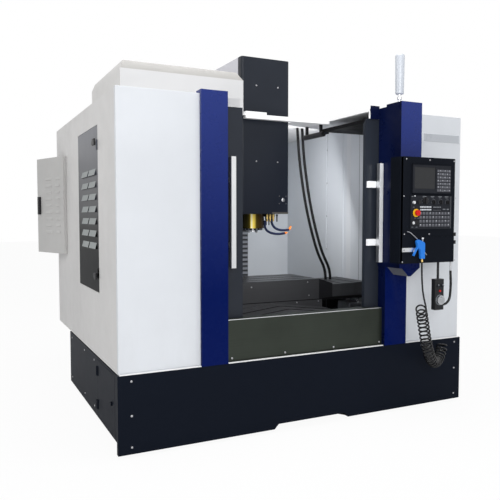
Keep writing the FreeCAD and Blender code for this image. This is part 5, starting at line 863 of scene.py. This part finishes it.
AIR_HOSE_TAIL = [
    (0.595, -1.335, 1.0527), (0.5955, -1.335, 1.005), (0.597, -1.3352, 0.955), (0.6005, -1.3355, 0.906),
    (0.6065, -1.3359, 0.860), (0.6169, -1.3364, 0.8155),
]
AIR_HOSE_END = [(1.062, -1.0433, 0.424), (1.062, -1.0153, 0.424)]
DROOP = (
    (0.617, -1.308, 0.762), (0.681, -1.271, 0.596), (0.700, -1.260, 0.581),
    (0.779, -1.214, 0.237), (0.959, -1.110, 0.302), (1.032, -1.068, 0.436),
)


def droop(along):
    """A point of the drooping line that the air hose's curls wind round."""
    rows = [Vector(point) for point in DROOP]
    while len(rows) > 1:
        rows = [low.lerp(high, along) for low, high in zip(rows, rows[1:])]
    return rows[0]


def curls():
    """The air hose's curls; the first still face the front and turn to follow the drooping line."""
    fine, steps, near = 400, CURL_COUNT * CURL_STEPS, 0.002
    reached = distances([droop(index / fine) for index in range(fine + 1)])
    facing = Vector((0.85, 0.50, 0.05)).normalized()
    side = Vector((0.52, -0.85, 0))
    spots = []
    for index, (low, part) in enumerate(even_shares(reached, steps)):
        share = (low + part) / fine
        way = (droop(min(1, share + near)) - droop(max(0, share - near))).normalized()
        early = max(0, 1 - index / steps / TURNING_SHARE)
        across = (way * (1 - early) + facing * early).normalized()
        side = (side - across * side.dot(across)).normalized()
        turn = 2 * math.pi * index / CURL_STEPS
        out = side * math.cos(turn) + across.cross(side) * math.sin(turn)
        spots.append(droop(share) + out * CURL_RADIUS)
    return spots


AIR_HOSE = AIR_HOSE_TAIL + curls() + AIR_HOSE_END
AIR_HOSE_NODES = "air_hose_tail", "air_hose_coil"
bending_cord(
    "air_hose", AIR_HOSE, AIR_HOSE_RADIUS, black_rubber, "control", "frame", AIR_HOSE_NODES
)

LEAD = [
    (0.880, -1.288, 0.9837), (0.881, -1.288, 0.956), (0.8845, -1.288, 0.918), (0.884, -1.288, 0.872),
    (0.8815, -1.288, 0.843), (0.879, -1.288, 0.8115), (0.8702, -1.288, 0.7901), (0.8539, -1.288, 0.7738),
    (0.8325, -1.288, 0.765), (0.8093, -1.288, 0.765),
]
lead = hose("hand_unit_lead_sleeve", LEAD, LEAD_RADIUS, black_rubber, "control")
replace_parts(lead, "hand_unit_lead")
round(distances(spots_along(LEAD))[-1], 3)

CONDUIT = (
    (0.436, -0.070, 2.0347), (0.449, -0.071, 1.832), (0.473, -0.080, 1.625), (0.502, -0.097, 1.415),
    (0.541, -0.120, 1.215), (0.588, -0.142, 1.035), (0.650, -0.162, 0.910), (0.650, -0.162, 0.8313),
)
for name, offset, nodes in (("conduit_1", 0.0, ("x_axis_conduits",)), ("conduit_2", 0.044, ())):
    route = [(x + offset, y, z) for x, y, z in CONDUIT]
    bending_cord(name, route, CONDUIT_RADIUS, conduit_black, "frame", "saddle", nodes)


# ---- the cabin's details ----

PLUG_SCREWS = [(x, z) for x in (0.112, 0.168) for z in (1.430, 1.484)]
screws("head_plug_screws", "head", facing_front(HEAD_FRONT, PLUG_SCREWS), "dull", 0.75)
boxes("head_lip", lip_brown, "head", [((0.052, -0.3655, 1.3552), (0.186, -0.3648, 1.368))])
PLUG = (0, 0.0135), (0.003, 0.0135), (0.006, 0.0095), (0.0065, 0.005), (0.0045, 0.004), (0.004, 0)
turned("head_plug", screw_zinc, "head", PLUG, (0.143, -0.3652, 1.457), FRONT, 24)

BOLT_COUNT, BOLT_CIRCLE, BOLT_CENTRE = 16, 0.0755, Vector((0, -0.145, 1.2425))
with piece("cartridge_bolts", [screw_zinc], "head") as form:
    for index in range(BOLT_COUNT):
        turn = 2 * math.pi * index / BOLT_COUNT
        way = Vector((math.cos(turn), math.sin(turn), 0))
        foot = BOLT_CENTRE + way * BOLT_CIRCLE
        rod(form, foot, foot + way * 0.0045, 0.0048, 8)

# brass stubs with jointed coolant hoses that hang from them and curve to the right
STUB_STEPS = (1.354, 1.318, 0.0085, 6), (1.320, 1.300, 0.0062, 16)
rods("coolant_stubs", brass, "head", [
    ((x, -0.212, top), (x, -0.212, foot), radius, sides)
    for x in (0.093, 0.118, 0.145) for top, foot, radius, sides in STUB_STEPS
])
rods("coolant_stub_black", black_plastic, "head", [
    ((0.188, -0.19, 1.353), (0.188, -0.19, foot), radius, 12)
    for foot, radius in ((1.297, 0.005), (1.340, 0.008))
])

LINK_PITCH = 0.011
LINK = [(-0.001, 0.0076), (0.003, 0.0102), (0.008, 0.0094), (0.0108, 0.0072)]
# the route of each hose, the length of its nozzle and how far the nozzle turns up
COOLANT_HOSES = (
    (
        ((0.093, -0.175, 1.306), (0.084, -0.176, 1.256), (0.126, -0.178, 1.213), (0.210, -0.180, 1.199),
         (0.262, -0.181, 1.209)),
        0.022, 0,
    ),
    (
        ((0.145, -0.175, 1.312), (0.154, -0.176, 1.270), (0.190, -0.178, 1.239), (0.255, -0.180, 1.227),
         (0.300, -0.181, 1.236)),
        0.030, 1.4,
    ),
)
with piece("coolant_hoses", [hose_navy, orange], "head") as form:
    for points, nozzle_length, lift in COOLANT_HOSES:
        spots = spots_along(points)
        reached = distances(spots)
        shares = even_shares(reached, int(reached[-1] / LINK_PITCH))
        knots = [spots[low].lerp(spots[low + 1], share) for low, share in shares]
        for before, after in zip(knots, knots[1:]):
            lathe(form, LINK, before, (after - before).normalized(), 10)
        way = (knots[-1] - knots[-2]).normalized() + Vector((0, 0, lift))
        profile = [(0, 0.0092), (0.006, 0.0092), (nozzle_length, 0.0050), (nozzle_length + 0.001, 0.0)]
        lathe(form, profile, knots[-1], way.normalized(), 12, 1)

# the magazine's cover, closed along its sloped front edge; its front and its slope get darker copies of its
# white as painted shade
COVER_LEFT, COVER_RIGHT, COVER_FRONT, COVER_REAR = -1.064, -0.202, -0.415, 0.435
COVER_RINGS = (
    (2.038, COVER_LEFT, COVER_RIGHT, COVER_FRONT), (2.275, COVER_LEFT, COVER_RIGHT, COVER_FRONT),
    (2.330, -1.041, -0.247, -0.393),
)
COVER_COATS = [cover_white, front_shade_white, slope_shade_white]
with piece("magazine_cover_finished", COVER_COATS, "frame", 0.0015, "magazine_cover") as form:
    rows = [
        [form.verts.new(spot) for spot in (
            (left, front, z), (right, front, z), (right, COVER_REAR, z), (left, COVER_REAR, z),
        )]
        for z, left, right, front in COVER_RINGS
    ]
    for level, (lower, upper) in enumerate(zip(rows, rows[1:])):
        for side in range(4):
            face = form.faces.new((lower[side], lower[(side + 1) % 4], upper[(side + 1) % 4], upper[side]))
            face.material_index = 0 if side else 1 + level
    form.faces.new(rows[-1])
    bmesh.ops.recalc_face_normals(form, faces=form.faces)
    bmesh.ops.solidify(form, geom=form.faces[:], thickness=0.003)

# seams and folds of the cabin's lining; the pale strip on the fold is a painted highlight
with piece("lining_seams", [seam_dark, front_white], "frame") as form:
    for y in (-0.330, 0.129):
        block(form, (0.8492, y - 0.0015, 0.55), (0.8502, y + 0.0015, 2.03))
    block(form, (0.8485, -0.215, 0.55), (0.8500, -0.160, 2.03), 1)

# the saddle's front face, dark, with its two screws, and the pale block and fitting at the right
boxes("saddle_face", hood_steel, "saddle", [((-0.425, -0.4532, 0.60), (0.43, -0.4524, 0.722))])
screws("saddle_face_screws", "saddle", facing_front(-0.4535, [(0.212, 0.709), (0.397, 0.709)]), size=0.8)
GUARD_SCREWS = ((0.300, 0.855), (0.312, 0.757), (-0.16, 0.84))
screws("guard_screws", "table", facing_front(-0.4575, GUARD_SCREWS), size=0.8)
boxes("saddle_side_block", pale_steel, "saddle", [((0.676, -0.4535, 0.60), (0.806, -0.30, 0.677))], 0.002)
rods("oil_fitting", bright_steel, "saddle", [
    ((0.767, -0.440, 0.677), (0.767, -0.440, 0.703), 0.010, 12),
    ((0.742, -0.440, 0.694), (0.767, -0.440, 0.694), 0.006, 12),
])


# ---- the control's details ----

PLATE = -1.3198  # where caps stand on the control's plate
PLATE_UNDER = -1.3197  # where flat caps and legends reach into it


def cap(form, x, z, width, height, front, coat=0, back=PLATE):
    """Adds a flat cap or a legend, from its lower left corner."""
    block(form, (x, front, z), (x + width, back, z + height), coat)


with piece("display_frame", [box_black, display_glass], "control", 0.0008) as form:
    for low, high in (
        ((0.521, 1.479), (0.845, 1.4835)), ((0.521, 1.6585), (0.845, 1.663)),
        ((0.521, 1.479), (0.5255, 1.663)), ((0.8405, 1.479), (0.845, 1.663)),
    ):
        block(form, (low[0], -1.3222, low[1]), (high[0], PLATE, high[1]))
with piece("keypad_caps", [cap_grey, legend_grey, legend_white], "control") as form:
    for row in range(7):
        for column in range(6):
            x, z = 0.722 + column * 0.0188, 1.4935 + row * 0.0205
            cap(form, x, z, 0.0158, 0.0155, -1.3238)
            cap(form, x + 0.003, z + 0.0085, 0.007, 0.0027, -1.3242, 1 + (row + column) % 2, -1.3237)
            if (row * 3 + column) % 4:
                cap(form, x + 0.004, z + 0.0035, 0.0085, 0.0017, -1.3242, 1, -1.3237)
with piece("panel_keys", [legend_white, legend_grey, cap_grey], "control") as form:
    for z in (1.392, 1.375):
        for column in range(7):
            cap(form, 0.587 + column * 0.0132, z, 0.0088, 0.0085, -1.3235)
    for column in range(5):
        x = 0.694 + column * 0.0132
        cap(form, x, 1.3925, 0.0085, 0.0065, -1.3232, 1)
        cap(form, x, 1.3745, 0.0085, 0.0045, -1.3232, 2)
    for x in (0.774, 0.786, 0.806, 0.816):
        cap(form, x, 1.378, 0.006, 0.0085, -1.3232, 1)
    for row in range(4):
        for column in range(10):
            x, z = 0.588 + column * 0.0256, 1.281 + row * 0.0247
            cap(form, x - 0.006, z - 0.0075, 0.019, 0.018, -1.3226, 2, PLATE_UNDER)
            cap(form, x, z + 0.001, 0.0050, 0.0055, -1.3230, 1 if (row + column) % 3 else 0, -1.3225)
    for x in (0.606, 0.672, 0.734, 0.788):
        cap(form, x, 1.4605, 0.030, 0.0035, -1.3206, 1, PLATE_UNDER)
        cap(form, x + 0.005, 1.4535, 0.019, 0.0025, -1.3206, 1, PLATE_UNDER)
    for x, z in (
        (0.518, 1.4595), (0.541, 1.3255), (0.566, 1.3255), (0.520, 1.2695), (0.553, 1.2695), (0.530, 1.3935),
    ):
        cap(form, x, z, 0.014, 0.0028, -1.3206, 1, PLATE_UNDER)
    cap(form, 0.8395, 1.262, 0.0015, 0.203, -1.3208, 1, PLATE_UNDER)
DIALS = ((0.627, 1.436, 0.0265), (0.697, 1.427, 0.0180), (0.7545, 1.427, 0.0180), (0.812, 1.427, 0.0180))
with piece("dial_marks", [legend_grey], "control") as form:
    for x, z, radius in DIALS:
        for spot in round_spots(11, (x, -1.3200, z), radius, -30, 24):
            rod(form, spot, spot + Vector((0, -0.0007, 0)), 0.0016, 6)
COLLAR = (0, 0.0250), (0.0022, 0.0250), (0.0030, 0.0232), (0.0036, 0.0100), (0, 0.0100)
turned("stop_collar", ring_yellow, "control", COLLAR, (0.553, -1.3231, 1.359), FRONT, 40)
with piece("cycle_buttons", [black_plastic, cap_white], "control") as form:
    ring = [(0, 0.0155), (0.0035, 0.0155), (0.0050, 0.0135), (0.0050, 0.0098), (0.0022, 0.0095)]
    button = [(0.0015, 0.0092), (0.0058, 0.0092), (0.0070, 0.0078), (0.0074, 0)]
    for x, coat in ((0.533, 1), (0.5655, 0)):
        lathe(form, ring, (x, -1.3199, 1.297), FRONT, 28)
        lathe(form, button, (x, -1.3199, 1.297), FRONT, 24, coat)
    rod(form, (0.578, -1.3198, 1.427), (0.578, -1.3290, 1.427), 0.0125, 24)
    lathe(form, [(0, 0.0045), (0.002, 0.0045), (0.003, 0)], (0.544, -1.3199, 1.464), FRONT, 12, 1)
PLATE_SCREW = (0, 0.0072), (0.0015, 0.0072), (0.0026, 0.0045), (0.0026, 0)
turned("plate_screw", screw_zinc, "control", PLATE_SCREW, (0.4635, -1.3203, 1.1295), FRONT, 16)
with piece("control_latches", [black_plastic], "control", 0.001) as form:
    for z in (1.222, 1.172):
        block(form, (0.868, -1.3190, z - 0.012), (0.890, -1.3145, z + 0.012))
        rod(form, (0.879, -1.3188, z), (0.879, -1.3235, z), 0.0075, 16)
with piece("gun_stud", [cap_white, pale_steel], "control") as form:
    rod(form, (0.597, -1.337, 1.170), (0.597, -1.337, 1.196), 0.0030, 12, 1)
    knob = [(0, 0.004), (0.002, 0.0072), (0.0085, 0.0072), (0.0115, 0.0045), (0.0120, 0)]
    lathe(form, knob, (0.597, -1.337, 1.194), UP, 20)
    rod(form, (0.610, -1.3255, 1.130), (0.640, -1.3255, 1.095), 0.0026, 10, 1)
rods("lead_rod", bright_steel, "control", [((0.880, -1.288, 0.9842), (0.880, -1.288, 1.0445), 0.0056, 20)])


# ---- the air gun and the hand unit ----

GUN_OUTLINE = [
    (0.562, 1.193), (0.585, 1.186), (0.606, 1.176), (0.612, 1.166), (0.611, 1.115), (0.612, 1.0730),
    (0.580, 1.0730), (0.577, 1.103), (0.575, 1.125), (0.566, 1.137), (0.555, 1.141), (0.549, 1.168),
    (0.544, 1.182), (0.552, 1.191),
]
with piece("air_gun_body", [gun_blue], "control", 0.0032, "air_gun") as form:
    panel(form, GUN_OUTLINE, -1.3455, -1.3245)
rods("air_gun_fitting", brass, "control", [
    ((0.595, -1.335, 1.0525), (0.595, -1.335, 1.0690), 0.0082, 6),
    ((0.595, -1.335, 1.0680), (0.595, -1.335, 1.0720), 0.0060, 16),
])
NOZZLE = (
    (0.564, 1.190), (0.550, 1.201), (0.524, 1.220), (0.500, 1.2375), (0.485, 1.2425), (0.4740, 1.2440),
)
hose("air_gun_nozzle", [(x, -1.335, z) for x, z in NOZZLE], 0.0025, pale_steel, "control")

FITTING_COATS = [plate_grey, legend_grey, stop_red, legend_white]
with piece("hand_unit_fittings", FITTING_COATS, "control", 0.0006) as form:
    scale_ring = [(0, 0.0335), (0.0006, 0.0335), (0.0006, 0.0305), (0, 0.0305)]
    lathe(form, scale_ring, (0.772, -1.3091, 0.800), FRONT, 40, 1)
    for spot in round_spots(20, (0.772, -1.3089, 0.800), 0.0345):
        rod(form, spot, spot + Vector((0, -0.0008, 0)), 0.0009, 5, 3)
    selector = [(0, 0.0110), (0.006, 0.0105), (0.0085, 0.0085), (0.0088, 0)]
    for x in (0.754, 0.790):
        lathe(form, selector, (x, -1.3089, 0.893), FRONT, 20)
        block(form, (x - 0.0012, -1.3185, 0.893), (x + 0.0012, -1.3176, 0.902), 3)
    stop = [(0, 0.0070), (0.004, 0.0070), (0.006, 0.0055), (0.0062, 0)]
    lathe(form, stop, (0.772, -1.3089, 0.858), FRONT, 16, 2)


# ---- the outside's details ----

with piece("signal_lamp_lens", [lamp_white, bright_steel], "frame", 0, "signal_lamp") as form:
    lens_profile = [
        (0, 0.0240), (0.003, 0.0272), (0.010, 0.0276), (0.243, 0.0310), (0.249, 0.0300), (0.253, 0.0265),
        (0.253, 0),
    ]
    stem = [(0, 0.0100), (0.020, 0.0100), (0.022, 0.0150), (0.036, 0.0150), (0.038, 0.0105), (0.057, 0.0105)]
    lathe(form, lens_profile, (0.600, -1.095, 2.131), UP, 48)
    lathe(form, stem, (0.600, -1.095, 2.0755), UP, 24, 1)

boxes("post_cheek", shaded_navy, "frame", [
    ((0.5565, -0.9395, 1.990), (0.5595, -0.842, 2.0752)),
    ((0.4860, -0.9418, 1.988), (0.5600, -0.9403, 2.0752)),
])

# pale strips painted as highlights along the edges of the base tray and the sill, and the brackets of the
# right door's handle
TRAY_HIGHLIGHT_SPANS = (-1.238, -0.757), (-0.585, 0.558), (0.751, 1.238)
boxes(
    "tray_edge", roof_white, "frame",
    [((left, -1.0140, 0.4652), (right, -0.9990, 0.4705)) for left, right in TRAY_HIGHLIGHT_SPANS], 0.001,
)
boxes("sill_edge", handle_silver, "frame", [((-0.5855, -0.9858, 0.7185), (0.5580, -0.9845, 0.7225))])
# the brackets get the handle's painted highlight
with piece("handle_brackets", [handle_highlight_pale], "right_leaf", 0.002) as form:
    for z in (1.551, 1.163):
        block(form, (0.4640, -0.9620, z - 0.022), (0.5263, -0.9355, z + 0.022))
    rod(form, (0.541, -0.985, 1.110), (0.541, -0.965, 1.110), 0.012, 20)

# two columns of small pressed louvres in the service door, which stands ajar
SERVICE_HINGE = (-1.2632, 0.5584)
ALONG_DOOR, OUT_OF_DOOR = Vector((-0.3256, 0.9455, 0)), Vector((-0.9455, -0.3256, 0))
LOUVRE_PROFILE = ((0, 0.0), (0.0045, 0.001), (0.0045, 0.005), (0, 0.024))
LOUVRE_FOOT, LOUVRE_PITCH, LOUVRE_SUNK = 1.205, 0.052, 0.0002
with piece("service_door_louvres", [service_white], "service_leaf", 0.0008) as form:
    for start, end in ((0.060, 0.125), (0.190, 0.290)):
        for row in range(9):
            foot = Vector((*SERVICE_HINGE, LOUVRE_FOOT + row * LOUVRE_PITCH))
            caps = []
            for reach in (start, end):
                edge = foot + ALONG_DOOR * reach
                caps.append([
                    form.verts.new(edge + OUT_OF_DOOR * (depth - LOUVRE_SUNK) + Vector((0, 0, rise)))
                    for depth, rise in LOUVRE_PROFILE
                ])
            form.faces.new(caps[0])
            form.faces.new(reversed(caps[1]))
            for side in range(4):
                after = (side + 1) % 4
                form.faces.new((caps[0][side], caps[1][side], caps[1][after], caps[0][after]))

# a dark rebate behind the gap round the skirt's hatch
boxes("hatch_rebate", plinth_black, "frame", [
    ((-1.2040, *low), (-1.2020, *high)) for low, high in (
        ((-0.860, 0.045), (-0.830, 0.440)), ((-0.396, 0.045), (-0.366, 0.440)),
        ((-0.860, 0.415), (-0.366, 0.440)), ((-0.860, 0.045), (-0.366, 0.075)),
    )
])
LATCH_STEPS = (-1.2590, -0.530, -0.475, 0.020), (-1.2530, -0.475, -0.430, 0.012)
boxes("louvred_door_latches", black_plastic, "louvred_leaf", [
    ((left, front, z - half), (-1.2488, rear, z + half))
    for z in (1.789, 0.970) for left, front, rear, half in LATCH_STEPS
], 0.002)

bpy.data.objects.remove(button_screw)


# ---- covers that stretch between two bodies ----


def stretching(name, node, still, mover, axis, way, side=0, hold=0.0):
    """The CAD cover's own form as one piece, whose two ends each go with a body of their own.

    Way is 1 where the axis runs from the still body to the moving one, and -1 where it runs back. Side keeps
    the half of the form on that side of the middle. Hold is the length at the still end that doesn't
    stretch; the stretch ends half that length past the moving end.
    """
    source = frame["nodes"][node]
    form = bmesh.new()
    form.from_mesh(source.data)
    form.transform(source.matrix_world)
    other_half = [vert for vert in form.verts if vert.co.x * side < 0]
    bmesh.ops.delete(form, geom=other_half, context="VERTS")
    mesh = mesh_of(name, form)
    for held in source.material_slots:
        mesh.materials.append(held.material)
    item = placed(name, mesh)
    span = sorted(vert.co[axis] for vert in mesh.vertices)[::way]
    start, end = [0, 0, 0], [0, 0, 0]
    start[axis], end[axis] = span[0] + way * hold, span[-1] + way * hold / 2
    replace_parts(item, node)
    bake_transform(item, still, mover, start, end)


CROSS_HOLD = 0.045
stretching("y_cover_stretching", "y_way_cover", "frame", "saddle", 1, 1)
stretching("z_cover_stretching", "z_way_cover", "frame", "head", 2, 1)
stretching("x_cover_left_stretching", "x_way_covers", "saddle", "table", 0, 1, -1, CROSS_HOLD)
stretching("x_cover_right_stretching", "x_way_covers", "saddle", "table", 0, -1, 1, CROSS_HOLD)


# ---- studio ----

FLOOR_HALF, FLOOR_HEIGHT = 30, -0.0005
FLOOR_GLOW_SHARE = 0.94  # how much of the floor that the camera sees is plain white
WHITE = (1, 1, 1, 1)


def studio_floor():
    """A pale floor, nearly white to the camera."""
    mesh = bpy.data.meshes.new("studio_floor")
    corners = ((-1, -1), (1, -1), (1, 1), (-1, 1))
    mesh.from_pydata([(x * FLOOR_HALF, y * FLOOR_HALF, FLOOR_HEIGHT) for x, y in corners], [], [(0, 1, 2, 3)])
    recipe = Recipe("studio_floor", (0.86, 0.86, 0.86), 0.9)
    glow = recipe.add("Emission", {"Strength": 1.0, "Color": WHITE}).outputs[0]
    part = recipe.times(recipe.add("LightPath").outputs["Is Camera Ray"], FLOOR_GLOW_SHARE)
    mix = recipe.add("MixShader", {0: part, 1: recipe.shader.outputs[0], 2: glow})
    feed(recipe.tree, recipe.tree.nodes["Material Output"], {"Surface": mix.outputs[0]})
    mesh.materials.append(recipe.material)
    placed("studio_floor", mesh)


def surround():
    """A surround that is seen as white, through glass and in reflections too, and lights the rest softly."""
    world = bpy.data.worlds.new("studio_surround")
    bpy.context.scene.world = world
    world.use_nodes = True
    tree = world.node_tree
    soft = tree.nodes["Background"]
    feed(tree, soft, {"Color": (0.95, 0.97, 1.0, 1), "Strength": 0.50})
    white = add_node(tree, "ShaderNodeBackground", {"Color": WHITE, "Strength": 1.0})
    rays = add_node(tree, "ShaderNodeLightPath").outputs
    shown = rays["Is Camera Ray"]
    for kind in ("Is Transmission Ray", "Is Glossy Ray"):
        shown = add_node(tree, "ShaderNodeMath", {0: shown, 1: rays[kind]}, operation="MAXIMUM").outputs[0]
    mix = add_node(tree, "ShaderNodeMixShader", {0: shown, 1: soft.outputs[0], 2: white.outputs[0]})
    feed(tree, tree.nodes["World Output"], {"Surface": mix.outputs[0]})


def softbox(name, place, target, size, power, colour=(1, 1, 1), shown=True):
    """A soft lamp of that size that looks at its target; where shown is false, it isn't seen itself."""
    data = bpy.data.lights.new(name, "AREA")
    data.shape = "RECTANGLE"
    data.size, data.size_y = size
    data.energy = power
    data.color = colour
    item = placed(name, data)
    item.location = place
    item.rotation_euler = (Vector(target) - Vector(place)).to_track_quat("-Z", "Y").to_euler()
    item.visible_camera = item.visible_glossy = shown


studio_floor()
surround()
softbox("key_softbox", (-2.6, -7.5, 3.2), (0, -0.5, 1.2), (4.0, 3.0), 230)
softbox("side_softbox", (-6.5, -0.5, 3.2), (-1, 0, 1.2), (3.5, 3.0), 50, (1.0, 0.97, 0.93))
softbox("top_softbox", (0, -1.2, 5.0), (0, 0, 1), (3.0, 3.0), 130)
softbox("doorway_softbox", (0.0, -0.99, 1.45), (0.35, 0.5, 1.40), (0.95, 1.0), 4.0, shown=False)
softbox("cabin_softbox", (0.46, -0.28, 1.66), (0.14, 0.80, 1.20), (0.45, 0.9), 5.6, shown=False)
